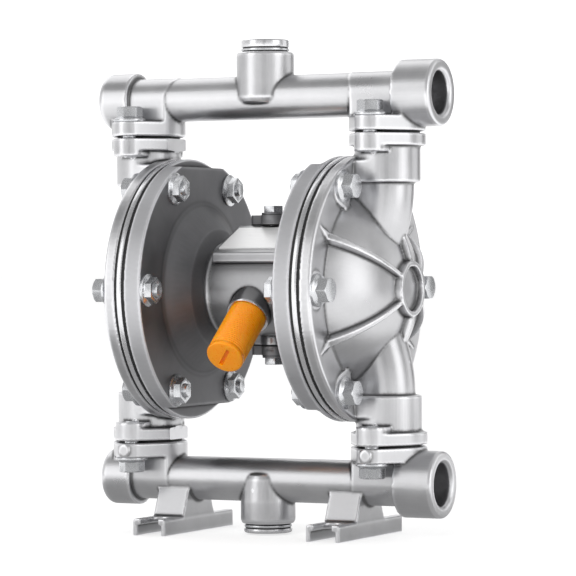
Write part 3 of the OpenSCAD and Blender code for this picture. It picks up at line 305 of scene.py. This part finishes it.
def newPiece(name, mesh, material):
    piece = bpy.data.objects.new(name, mesh)
    bpy.context.scene.collection.objects.link(piece)
    mesh.materials.clear()
    mesh.materials.append(material)
    return piece


def seatPiece(piece, *nodeNames):
    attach(piece, bodyOf(nodeNames[0]))
    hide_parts(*nodeNames)


def mergedCopy(nodeName):
    mesh = cadNodes[nodeName].data.copy()
    shape = bmesh.new()
    shape.from_mesh(mesh)
    bmesh.ops.remove_doubles(shape, verts=shape.verts, dist=0.002 * mm)
    shape.to_mesh(mesh)
    shape.free()
    return mesh


def applyModifiers(piece):
    bpy.context.view_layer.update()
    finished = bpy.data.meshes.new_from_object(piece.evaluated_get(bpy.context.evaluated_depsgraph_get()))
    piece.modifiers.clear()
    piece.data = finished


casting = {"skin": 0.5 * mm, "passes": 3, "strength": 0.5, "triangles": 170000}
castNodes = ("air_chamber_left", "air_chamber_right", "outlet_manifold", "inlet_manifold", "centre_body")


# Gives a piece a casting's skin: its parts as one surface, with edges softened as a mould leaves them
def softenSkin(piece, settings):
    skin = piece.modifiers.new("skin", "REMESH")
    skin.mode = "VOXEL"
    skin.voxel_size = settings["skin"]
    skin.use_smooth_shade = True
    soften = piece.modifiers.new("soften", "SMOOTH")
    soften.factor = settings["strength"]
    soften.iterations = settings["passes"]
    applyModifiers(piece)
    thin = piece.modifiers.new("thin", "DECIMATE")
    thin.ratio = min(1, settings["triangles"] / (2 * len(piece.data.polygons)))
    applyModifiers(piece)


def castSkin(nodeName, settings):
    piece = newPiece("casting_" + nodeName, mergedCopy(nodeName), finishOf[nodeName])
    softenSkin(piece, settings)
    seatPiece(piece, nodeName)
    print("casting", nodeName, len(piece.data.polygons), "faces")


for nodeName in castNodes:
    castSkin(nodeName, casting)


# Shape helpers. Sizes are in millimetres from the shaft's axis until shapePiece scales them
shaftAxis, upAxis = Vector((1, 0, 0)), Vector((0, 0, 1))
poleGap = 0.001      # points this near an axis are one


# Extrudes a solid from its first ring of points through the others. Its edges go in with the face, or each
# ring's face would stay inside and the solid would cut nothing
def growRings(shape, rings):
    end = shape.faces.new([shape.verts.new(point) for point in rings[0]])
    for ring in rings[1:]:
        grown = bmesh.ops.extrude_face_region(shape, geom=[end, *end.edges])["geom"]
        end = next(item for item in grown if isinstance(item, bmesh.types.BMFace))
        for corner, point in zip(end.verts, ring):
            corner.co = point


# Ring of points round an axis in the plane of the shaft and the neck
def ringPoints(centre, axis, radius, count=64):
    side = Vector((0, 1, 0))
    other = axis.cross(side).normalized()
    turns = [2 * math.pi * i / count for i in range(count)]
    return [centre + side * (radius * math.cos(t)) + other * (radius * math.sin(t)) for t in turns]


def addPin(shape, start, end, radius, count=64):
    run = Vector(end) - Vector(start)
    place = Matrix.Translation((Vector(start) + Vector(end)) / 2) @ run.to_track_quat("Z", "Y").to_matrix().to_4x4()
    bmesh.ops.create_cone(shape, cap_ends=True, segments=count, radius1=radius, radius2=radius, depth=run.length,
                          matrix=place)


def addBox(shape, low, high):
    made = bmesh.ops.create_cube(shape, size=1)["verts"]
    bmesh.ops.scale(shape, verts=made, vec=Vector(high) - Vector(low))
    bmesh.ops.translate(shape, verts=made, vec=(Vector(low) + Vector(high)) / 2)


def addBall(shape, centre, radius):
    made = bmesh.ops.create_uvsphere(shape, u_segments=96, v_segments=64, radius=radius)["verts"]
    bmesh.ops.translate(shape, verts=made, vec=centre)


# Spins a profile of (radius, height) points round an axis; an open one starts and ends on the axis
def spinProfile(shape, profile, axis, closed=False, count=96):
    side = Vector((0, 1, 0)) if axis.x else Vector((1, 0, 0))
    points = [shape.verts.new(side * radius + axis * height) for radius, height in profile]
    pairs = zip(points, points[1:] + points[:1] if closed else points[1:])
    edges = [shape.edges.new(pair) for pair in pairs]
    bmesh.ops.spin(shape, geom=points + edges, cent=(0, 0, 0), axis=axis, angle=2 * math.pi, steps=count,
                   use_merge=True)
    poles = [point for point in shape.verts if (point.co - axis * point.co.dot(axis)).length < poleGap]
    bmesh.ops.remove_doubles(shape, verts=poles, dist=poleGap)


def shapePiece(name, shape, material):
    bmesh.ops.recalc_face_normals(shape, faces=shape.faces)
    bmesh.ops.scale(shape, verts=shape.verts, vec=(mm, mm, mm))
    bmesh.ops.translate(shape, verts=shape.verts, vec=(0, 0, shaftHeight))
    mesh = bpy.data.meshes.new(name)
    shape.to_mesh(mesh)
    shape.free()
    return newPiece(name, mesh, material)


# Cuts a solid out of a piece
def cutAway(piece, name, shape):
    cutter = shapePiece(name, shape, piece.data.materials[0])
    cut = piece.modifiers.new("cut", "BOOLEAN")
    cut.operation = "DIFFERENCE"
    cut.solver = "MANIFOLD"
    cut.object = cutter
    applyModifiers(piece)
    bpy.data.objects.remove(cutter)


# Smooth shading that stops at edges sharper than an angle
def smoothShape(shape, sharpAngle):
    for face in shape.faces:
        face.smooth = True
    for edge in shape.edges:
        edge.smooth = not (edge.is_manifold and edge.calc_face_angle(0) > math.radians(sharpAngle))


def smoothPiece(piece, sharpAngle):
    shape = bmesh.new()
    shape.from_mesh(piece.data)
    smoothShape(shape, sharpAngle)
    shape.to_mesh(piece.data)
    shape.free()


# Fluid cap: disc with a falling floor, bosses under the bolts, dome, six ribs, hub, necks and housings
cap = {
    "back": 44.5, "seat": 49.7, "discRadius": 57.7, "chamfer": 0.6, "drop": 1.7, "footRadius": 41.3,
    "hubRadius": 12.1, "hubFoot": 67.5, "hubHeight": 3.5, "hubRim": 2.4, "hubRecess": 2.8, "wall": 4.0,
    "ribWidth": 2.1, "ribDraft": 2.0, "ribHeight": 2.8, "ribEnd": 45.6, "ribTip": 54.0,
    "ribAngles": (30, 90, 150, 210, 270, 330), "boltAngles": (0, 60, 120, 180, 240, 300),
    "boltCircle": 50.85, "bossRadius": 8.0, "bossNose": 12.7, "boltHole": 3.3,
    "stack": 58.9, "neckRadius": 11.5, "neckBore": 8.5, "leanHeight": 37.0, "leanAngle": 16.0, "leanLength": 31.0,
    "bendLength": 8.0, "step": 45.83, "seatHeight": 47.23, "joint": 66.9, "housingRadius": 14.3,
    "housingBore": 11.4, "plate": 5.3, "flangeRadius": 16.6, "earDepth": 8.1, "earRadius": 7.0,
    "earReach": 17.3, "earRoot": 8.0, "earHole": 3.05,
    "waveRoom": [(41.3, 44.5), (40.5, 46.2), (38.5, 47.5), (36.0, 48.3)],      # for the diaphragm's wave
    "overlap": 1.0, "inset": 0.05,      # how far parts reach into each other, and what keeps their sides apart
    "curveSteps": 40, "behindDepth": 20, "behindHalf": 70,
}


# Middle, along the shaft, of a sphere through two (station, radius) points
def sphereMiddle(x1, r1, x2, r2):
    return (x1 * x1 + r1 * r1 - x2 * x2 - r2 * r2) / (2 * (x1 - x2))


# Half of a rib's width at a station: wider at its foot, by the mould's draft
def ribHalf(settings, x):
    top = settings["hubFoot"] + settings["ribHeight"]
    return settings["ribWidth"] / 2 + (top - x) * math.tan(math.radians(settings["ribDraft"]))


def aroundShaft(point, degrees):
    return Matrix.Rotation(math.radians(degrees), 3, "X") @ Vector(point)


def addCapRib(shape, settings, angle):
    overlap, steps = settings["overlap"], settings["curveSteps"]
    top = settings["hubFoot"] + settings["ribHeight"]
    middle = sphereMiddle(top, settings["hubRadius"], settings["seat"], settings["ribEnd"])
    ball = math.hypot(top - middle, settings["hubRadius"])
    low = settings["back"] + overlap
    inner, outer = settings["hubRadius"] - 2 * overlap, settings["ribEnd"] + 2 * overlap
    rings = []
    for i in range(steps + 1):
        r = inner + (outer - inner) * i / steps
        high = middle + math.sqrt(ball * ball - r * r)
        section = [(x, r, side * ribHalf(settings, x)) for x, side in ((low, -1), (high, -1), (high, 1), (low, 1))]
        rings.append([aroundShaft(point, angle) for point in section])
    growRings(shape, rings)
    half = ribHalf(settings, settings["seat"]) - 2 * settings["inset"]
    start, end = settings["ribEnd"] - 3 * overlap, settings["ribEnd"]
    outline = [(start, -half), (end, -half), (settings["ribTip"], 0), (end, half), (start, half)]
    growRings(shape, [[aroundShaft((x, r, z), angle) for r, z in outline] for x in (low, settings["seat"])])


# Boss under a bolt, drawn out to a point towards the hub except beside the upright ribs
def addCapBoss(shape, settings, angle):
    radius, nose, steps = settings["bossRadius"], settings["bossNose"], 96
    touch = math.degrees(math.acos(radius / nose))
    pointed = angle % 180 != 0
    outline = []
    for i in range(steps + 1):
        turn = touch - 180 + (360 - 2 * touch) * i / steps if pointed else 360 * i / (steps + 1) - 180
        outline.append((settings["boltCircle"] + radius * math.cos(math.radians(turn)),
                        radius * math.sin(math.radians(turn))))
    if pointed:
        outline.append((settings["boltCircle"] - nose, 0))
    limit = settings["discRadius"] - settings["chamfer"]
    clipped = [(r * min(1, limit / math.hypot(r, z)), z * min(1, limit / math.hypot(r, z))) for r, z in outline]
    growRings(shape, [[aroundShaft((x, r, z), angle) for r, z in clipped]
                      for x in (settings["back"] + settings["overlap"], settings["seat"])])


# Outline of a flange: a round middle and two ears joined by tangents
def flangeOutline(settings):
    reach, ear, middle, steps = settings["earReach"], settings["earRadius"], settings["flangeRadius"], 24
    lean = math.acos((middle - ear) / reach)
    points = []
    for centre, radius, start, end in (
            (reach, ear, lean, -lean), (0, middle, -lean, lean - math.pi),
            (-reach, ear, lean - math.pi, -lean - math.pi), (0, middle, -lean - math.pi, lean - 2 * math.pi)):
        for i in range(steps + 1):
            turn = start + (end - start) * i / steps
            points.append((radius * math.sin(turn), centre + radius * math.cos(turn)))
    return points


# Centre line of a neck: down from the housing, then leaning in towards the hub
def neckLine(settings, top, side):
    lean = math.radians(settings["leanAngle"])
    joint = Vector((settings["stack"], 0, side * settings["leanHeight"]))
    end = joint + Vector((-math.sin(lean), 0, -side * math.cos(lean))) * settings["leanLength"]
    return Vector((settings["stack"], 0, side * top)), joint, end


# Neck with a rounded bend, and the walls that join it to the disc and dome behind it
def addNeck(shape, settings, side):
    stack, back, radius, steps = settings["stack"], settings["back"], settings["neckRadius"], 16
    top, joint, end = neckLine(settings, settings["step"] + settings["overlap"], side)
    up, down = (top - joint).normalized(), (end - joint).normalized()
    rings = [ringPoints(top, -up, radius)]
    for i in range(steps + 1):
        t = i / steps
        bend = joint + (up * (1 - t) ** 2 + down * t ** 2) * settings["bendLength"]
        rings.append(ringPoints(bend, (down * t - up * (1 - t)).normalized(), radius))
    rings.append(ringPoints(end, down, radius))
    growRings(shape, rings)
    half = radius - settings["inset"]
    low, high = sorted((joint.z, top.z))
    addBox(shape, (back, -half, low), (stack, half, high))
    behind = Vector((-abs(down.z), 0, abs(down.x) * side)) * (stack - back)
    across = Vector((0, half, 0))
    growRings(shape, [[p - across, p + across, p + behind + across, p + behind - across] for p in (joint, end)])


# Valve housing with its arch down to the disc, and its flange with two ears
def addHousing(shape, settings, side):
    stack, back, joint, steps = settings["stack"], settings["back"], settings["joint"], 32
    addPin(shape, (stack, 0, side * settings["step"]), (stack, 0, side * joint), settings["housingRadius"])
    radius = settings["discRadius"] - settings["chamfer"]
    width = settings["housingRadius"] - settings["inset"]
    sides = [width * (2 * i / steps - 1) for i in range(steps + 1)]
    arch = [(y, side * math.sqrt(radius * radius - y * y)) for y in sides]
    arch += [(width, side * settings["step"]), (-width, side * settings["step"])]
    growRings(shape, [[Vector((x, y, z)) for y, z in arch] for x in (back, stack)])
    outline = [(stack + x, y) for x, y in flangeOutline(settings)]
    growRings(shape, [[Vector((x, y, side * z)) for x, y in outline] for z in (joint - settings["plate"], joint)])
    ear, low, high = settings["earRadius"], *sorted((side * (joint - settings["earDepth"]), side * joint))
    for y in (-settings["earReach"], settings["earReach"]):
        addPin(shape, (stack, y, low), (stack, y, high), ear)
        near, far = sorted((y, math.copysign(settings["earRoot"], y)))
        addBox(shape, (stack - ear, near, low), (stack + ear, far, high))


def capOutside(settings):
    shape = bmesh.new()
    back, seat, disc, foot = settings["back"], settings["seat"], settings["discRadius"], settings["footRadius"]
    hub, hubFoot, overlap, steps = (settings[key] for key in ("hubRadius", "hubFoot", "overlap", "curveSteps"))
    middle = sphereMiddle(hubFoot, hub, seat - settings["drop"], foot)
    ball = math.hypot(hubFoot - middle, hub)
    inner = foot - 4 * overlap
    floor = seat - settings["drop"] * (disc - inner) / (disc - foot)
    spinProfile(shape, [(0, back), (disc, back), (disc, seat - settings["chamfer"]), (disc - settings["chamfer"], seat),
                        (inner, floor), (0, floor)], shaftAxis, count=128)
    face = hubFoot + settings["hubHeight"]
    recess, rim = face - settings["hubRecess"], hub - settings["hubRim"]
    start, end = back + overlap, recess - 2 * settings["inset"]
    stations = [start + (end - start) * math.sin(math.pi / 2 * i / steps) for i in range(steps + 1)]
    dome = [(math.sqrt(ball * ball - (x - middle) ** 2), x) for x in stations]
    spinProfile(shape, [(0, start)] + dome + [(0, end)], shaftAxis, count=128)
    root = hubFoot - 2 * overlap
    spinProfile(shape, [(0, root), (hub, root), (hub, face), (rim, face), (rim, recess), (0, recess)], shaftAxis,
                count=128)
    for angle in settings["ribAngles"]:
        addCapRib(shape, settings, angle)
    for angle in settings["boltAngles"]:
        addCapBoss(shape, settings, angle)
    for side in (1, -1):
        addNeck(shape, settings, side)
        addHousing(shape, settings, side)
    return shape, middle, ball


# The room behind the dome, with space for the diaphragm's wave
def cutRoom(piece, settings, middle, radius):
    behind, half = bmesh.new(), settings["behindHalf"]
    addBox(behind, (settings["back"] - settings["behindDepth"], -half, -half), (settings["back"], half, half))
    cutAway(piece, "behind", behind)
    hollow = bmesh.new()
    addBall(hollow, (middle, 0, 0), radius)
    cutAway(piece, "hollow", hollow)
    wave, room = bmesh.new(), settings["waveRoom"]
    before = room[0][1] - settings["overlap"]
    spinProfile(wave, [(0, before), (room[0][0], before)] + room + [(0, room[-1][1])], shaftAxis, count=128)
    cutAway(piece, "wave", wave)


# Bores of the necks, mitred at their bends
def cutNecks(piece, settings):
    bores = bmesh.new()
    for side in (1, -1):
        top, joint, end = neckLine(settings, settings["seatHeight"] + settings["overlap"], side)
        axis = Vector((0, 0, -side))
        bend = ((joint - top).normalized() + (end - joint).normalized()).normalized()
        upper = ringPoints(top, axis, settings["neckBore"])
        mitre = [p + axis * ((joint - p).dot(bend) / axis.dot(bend)) for p in upper]
        growRings(bores, [upper, mitre, [p + end - joint for p in mitre]])
    cutAway(piece, "bores", bores)


# Seats of the valves, and holes for the flanges' and the chamber's bolts
def cutHoles(piece, settings):
    holes = bmesh.new()
    stack, beyond = settings["stack"], settings["joint"] + settings["overlap"]
    under = settings["joint"] - settings["earDepth"] - settings["overlap"]
    for side in (1, -1):
        addPin(holes, (stack, 0, side * settings["seatHeight"]), (stack, 0, side * beyond), settings["housingBore"])
        for y in (-settings["earReach"], settings["earReach"]):
            addPin(holes, (stack, y, side * under), (stack, y, side * beyond), settings["earHole"], 32)
    for angle in settings["boltAngles"]:
        addPin(holes, aroundShaft((settings["back"] - settings["overlap"], settings["boltCircle"], 0), angle),
               aroundShaft((settings["seat"] + 2 * settings["overlap"], settings["boltCircle"], 0), angle),
               settings["boltHole"], 32)
    cutAway(piece, "holes", holes)


def buildCap(settings, skin):
    shape, middle, ball = capOutside(settings)
    piece = shapePiece("casting_fluid_cap_right", shape, finishOf["fluid_cap_right"])
    softenSkin(piece, skin)
    cutRoom(piece, settings, middle, ball - settings["wall"])
    cutNecks(piece, settings)
    cutHoles(piece, settings)
    return piece


rightCap = buildCap(cap, casting)
mirrored = rightCap.data.copy()
mirrored.transform(Matrix.Scale(-1, 4, (1, 0, 0)))
mirrored.flip_normals()
leftCap = newPiece("casting_fluid_cap_left", mirrored, finishOf["fluid_cap_left"])
seatPiece(rightCap, "fluid_cap_right")
seatPiece(leftCap, "fluid_cap_left")
print("fluid caps made:", len(rightCap.data.polygons), "faces each")


# Orange plug in the air inlet, with fine ridges and a slot, and the machined ring of its boss
airPlug = {
    "mouth": (1.5, -21.79, -11.82), "angle": 38.7, "radius": 8.3, "out": 27.4, "inside": 7.0, "root": 7.7,
    "pitch": 1.1, "ridge": 0.4, "ridgeSteps": 6, "plainEnd": 2.4, "edge": 0.9, "edgeSteps": 8,
    "slotWidth": 1.7, "slotLength": 10.4, "slotHeight": 4, "slotDepth": 1.7, "slotEdge": 0.3, "slotTurn": -38,
    "ring": [(8.45, -0.9), (9.5, -0.9), (9.5, -0.25), (9.25, 0.1), (8.45, 0.1)],
    "plugSharp": 35, "ringSharp": 20,
}


def placeInlet(shape, settings):
    turn = Matrix.Translation(settings["mouth"]) @ Matrix.Rotation(math.radians(90 + settings["angle"]), 4, "X")
    bmesh.ops.transform(shape, matrix=turn, verts=shape.verts)


# Outline of the plug from its inner end, over its ridges, to its rounded outer end
def plugProfile(settings):
    radius, out, edge = settings["radius"], settings["out"], settings["edge"]
    ridged = out - settings["plainEnd"] + settings["inside"]
    profile = [(0, -settings["inside"]), (settings["root"], -settings["inside"])]
    steps = int(ridged / settings["pitch"] * settings["ridgeSteps"])
    for i in range(steps + 1):
        height = ridged * i / steps - settings["inside"]
        depth = settings["ridge"] * (0.5 - 0.5 * math.cos(2 * math.pi * height / settings["pitch"]))
        profile.append((radius - depth, height))
    for i in range(settings["edgeSteps"] + 1):
        turn = math.pi / 2 * i / settings["edgeSteps"]
        profile.append((radius - edge + edge * math.cos(turn), out - edge + edge * math.sin(turn)))
    return profile + [(0, out)]


def makePlug(settings):
    shape = bmesh.new()
    spinProfile(shape, plugProfile(settings), upAxis)
    placeInlet(shape, settings)
    piece = shapePiece("orangePlug", shape, finishOf["air_inlet_plug"])
    slot = bmesh.new()
    bmesh.ops.create_cube(slot, size=1)
    bmesh.ops.scale(slot, verts=slot.verts,
                    vec=(settings["slotWidth"], settings["slotLength"], settings["slotHeight"]))
    bmesh.ops.bevel(slot, geom=slot.edges[:], offset=settings["slotEdge"], segments=3, affect="EDGES", profile=0.5,
                    material=-1)
    bmesh.ops.rotate(slot, verts=slot.verts, matrix=Matrix.Rotation(math.radians(settings["slotTurn"]), 3, "Z"))
    bmesh.ops.translate(slot, verts=slot.verts,
                        vec=(0, 0, settings["out"] - settings["slotDepth"] + settings["slotHeight"] / 2))
    placeInlet(slot, settings)
    cutAway(piece, "slot", slot)
    smoothPiece(piece, settings["plugSharp"])
    seatPiece(piece, "air_inlet_plug")


def makeRing(settings):
    shape = bmesh.new()
    spinProfile(shape, settings["ring"], upAxis, closed=True)
    placeInlet(shape, settings)
    piece = shapePiece("inletRing", shape, finishes["machined_aluminium"])
    smoothPiece(piece, settings["ringSharp"])
    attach(piece, bodyOf("centre_body"))


makePlug(airPlug)
makeRing(airPlug)
print("plug and its ring made")

crisp = {"edge": 0.18 * mm, "segments": 2, "sharpAngle": 28, "flatAngle": 1.0}
crispNodes = ("valve_cover_top", "valve_cover_bottom", "cover_bolts", "chamber_bolts_left",
              "chamber_bolts_right", "chamber_nuts_left", "chamber_nuts_right", "outlet_bolts",
              "inlet_bolts", "outlet_plug", "inlet_plug", "plug_washers", "clamp_ring_left",
              "clamp_ring_right", "exhaust_silencer")


# A machined or pressed piece: flat faces made whole and its edges broken
def crispCopy(nodeName, settings):
    mesh = mergedCopy(nodeName)
    shape = bmesh.new()
    shape.from_mesh(mesh)
    bmesh.ops.dissolve_limit(shape, angle_limit=math.radians(settings["flatAngle"]), verts=shape.verts,
                             edges=shape.edges)
    sharp = [e for e in shape.edges if e.is_manifold and
             e.calc_face_angle(0) > math.radians(settings["sharpAngle"])]
    bmesh.ops.bevel(shape, geom=sharp, offset=settings["edge"], segments=settings["segments"], affect="EDGES",
                    profile=0.5, material=-1, clamp_overlap=True)
    smoothShape(shape, settings["sharpAngle"])
    shape.to_mesh(mesh)
    shape.free()
    piece = newPiece("finished_" + nodeName, mesh, finishOf[nodeName])
    seatPiece(piece, nodeName)


for nodeName in crispNodes:
    crispCopy(nodeName, crisp)
print("crisp pieces made:", len(crispNodes))


# Floor, lamps, world and cards
stageSettings = {
    "floorSize": 60, "floorColour": (0.55, 0.55, 0.55), "floorGlow": 0.6,
    "front": 0.66, "frontEnd": -0.3, "rear": 1.0, "rearStart": 0.6,      # world's strength by direction along Y
    "ceiling": 0.55, "ceilingStart": 0.25, "ceilingEnd": 0.75,           # and its share left overhead, along Z
    "fill": 1.3,
}
lampPanels = {
    "leftPanel": {"azimuth": -35, "elevation": 18, "distance": 1.5, "width": 0.7, "height": 1.1, "radiance": 1.0},
    "rightPanel": {"azimuth": 80, "elevation": 12, "distance": 1.6, "width": 0.8, "height": 1.2, "radiance": 1.0},
    "topPanel": {"azimuth": -125, "elevation": 50, "distance": 1.5, "width": 1.1, "height": 0.9, "radiance": 0.8},
    "frontFill": {"azimuth": 8, "elevation": 22, "distance": 1.8, "width": 1.2, "height": 0.9, "radiance": 4.6,
                  "soft": True},
}
greyCards = {
    "floorCard": {"azimuth": 0, "elevation": -90, "distance": shaftHeight - 0.4 * mm, "width": 0.34,
                  "height": 0.34, "level": 0.34},
    "rearCard": {"azimuth": 160, "elevation": 6, "distance": 1.3, "width": 0.45, "height": 1.4, "level": 0.15},
    "sideCard": {"azimuth": 112, "elevation": 6, "distance": 1.3, "width": 0.3, "height": 1.4, "level": 0.25},
    "frontCard": {"azimuth": 22, "elevation": 6, "distance": 1.3, "width": 0.34, "height": 1.4, "level": 0.4},
}


# Place of a panel or card, turned towards the pump's middle
def facingPump(settings):
    away = aim(settings["azimuth"], settings["elevation"])
    return (Matrix.Translation(Vector((0, 0, shaftHeight)) + away * settings["distance"])
            @ away.to_track_quat("Z", "Y").to_matrix().to_4x4())


def placeLamp(name, settings):
    data = bpy.data.lights.new(name, "AREA")
    data.shape = "RECTANGLE"
    data.size = settings["width"]
    data.size_y = settings["height"]
    data.energy = settings["radiance"] * math.pi * settings["width"] * settings["height"]
    lamp = bpy.data.objects.new(name, data)
    lamp.matrix_world = facingPump(settings)
    lamp.visible_camera = False
    lamp.visible_glossy = not settings.get("soft", False)      # a soft lamp lights plastic, rubber and floor only
    bpy.context.scene.collection.objects.link(lamp)


def flatSheet(name, width, height, material, place):
    shape = bmesh.new()
    bmesh.ops.create_grid(shape, x_segments=1, y_segments=1, size=0.5)
    bmesh.ops.scale(shape, verts=shape.verts, vec=(width, height, 1))
    bmesh.ops.transform(shape, verts=shape.verts, matrix=place)
    mesh = bpy.data.meshes.new(name)
    shape.to_mesh(mesh)
    shape.free()
    sheet = newPiece(name, mesh, material)
    return sheet


def makeFloor(settings):
    material, tree, shader = startMaterial("paleFloor")
    shader.inputs["Base Color"].default_value = (*settings["floorColour"], 1)
    shader.inputs["Roughness"].default_value = 0.9
    shader.inputs["Specular IOR Level"].default_value = 0.1
    shader.inputs["Emission Color"].default_value = (1, 1, 1, 1)
    rays = addNode(tree, "ShaderNodeLightPath").outputs
    seen = combine(tree, "MAXIMUM", rays["Is Camera Ray"], rays["Is Glossy Ray"])
    tree.links.new(remap(tree, seen, 0, 1, 0, settings["floorGlow"]), shader.inputs["Emission Strength"])
    flatSheet("floor", settings["floorSize"], settings["floorSize"], material, Matrix())


# White where it is seen; a softer studio, brighter behind and darker overhead, where it lights and is mirrored
def makeWorld(settings):
    world = bpy.data.worlds.new("studio")
    bpy.context.scene.world = world
    world.use_nodes = True
    tree = world.node_tree
    background = tree.nodes["Background"]
    rays = addNode(tree, "ShaderNodeLightPath").outputs
    heading = addNode(tree, "ShaderNodeSeparateXYZ")
    tree.links.new(addNode(tree, "ShaderNodeTexCoord").outputs["Generated"], heading.inputs["Vector"])
    level = remap(tree, heading.outputs["Y"], settings["frontEnd"], settings["rearStart"], settings["front"],
                  settings["rear"])
    above = remap(tree, heading.outputs["Z"], settings["ceilingStart"], settings["ceilingEnd"], 1,
                  settings["ceiling"])
    diffuse = remap(tree, rays["Is Glossy Ray"], 0, 1, settings["fill"], 1)
    lit = combine(tree, "MULTIPLY", combine(tree, "MULTIPLY", level, above), diffuse)
    shown = combine(tree, "MAXIMUM", rays["Is Camera Ray"], rays["Is Transmission Ray"])
    background.inputs["Color"].default_value = (1, 1, 1, 1)
    tree.links.new(combine(tree, "MAXIMUM", lit, shown), background.inputs["Strength"])


# A grey card that only reflections see, as a photographer sets round bright metal
def makeCard(name, settings):
    material, tree, shader = startMaterial(name + "Grey")
    shader.inputs["Base Color"].default_value = (0, 0, 0, 1)
    shader.inputs["Emission Color"].default_value = (1, 1, 1, 1)
    shader.inputs["Emission Strength"].default_value = settings["level"]
    card = flatSheet(name, settings["width"], settings["height"], material, facingPump(settings))
    card.visible_camera = False
    card.visible_diffuse = False
    card.visible_shadow = False


makeFloor(stageSettings)
makeWorld(stageSettings)
for cardName, card in greyCards.items():
    makeCard(cardName, card)
for panelName, panel in lampPanels.items():
    placeLamp(panelName, panel)
bpy.context.scene.view_settings.view_transform = "Standard"
print("stage lit:", len(lampPanels), "panels")
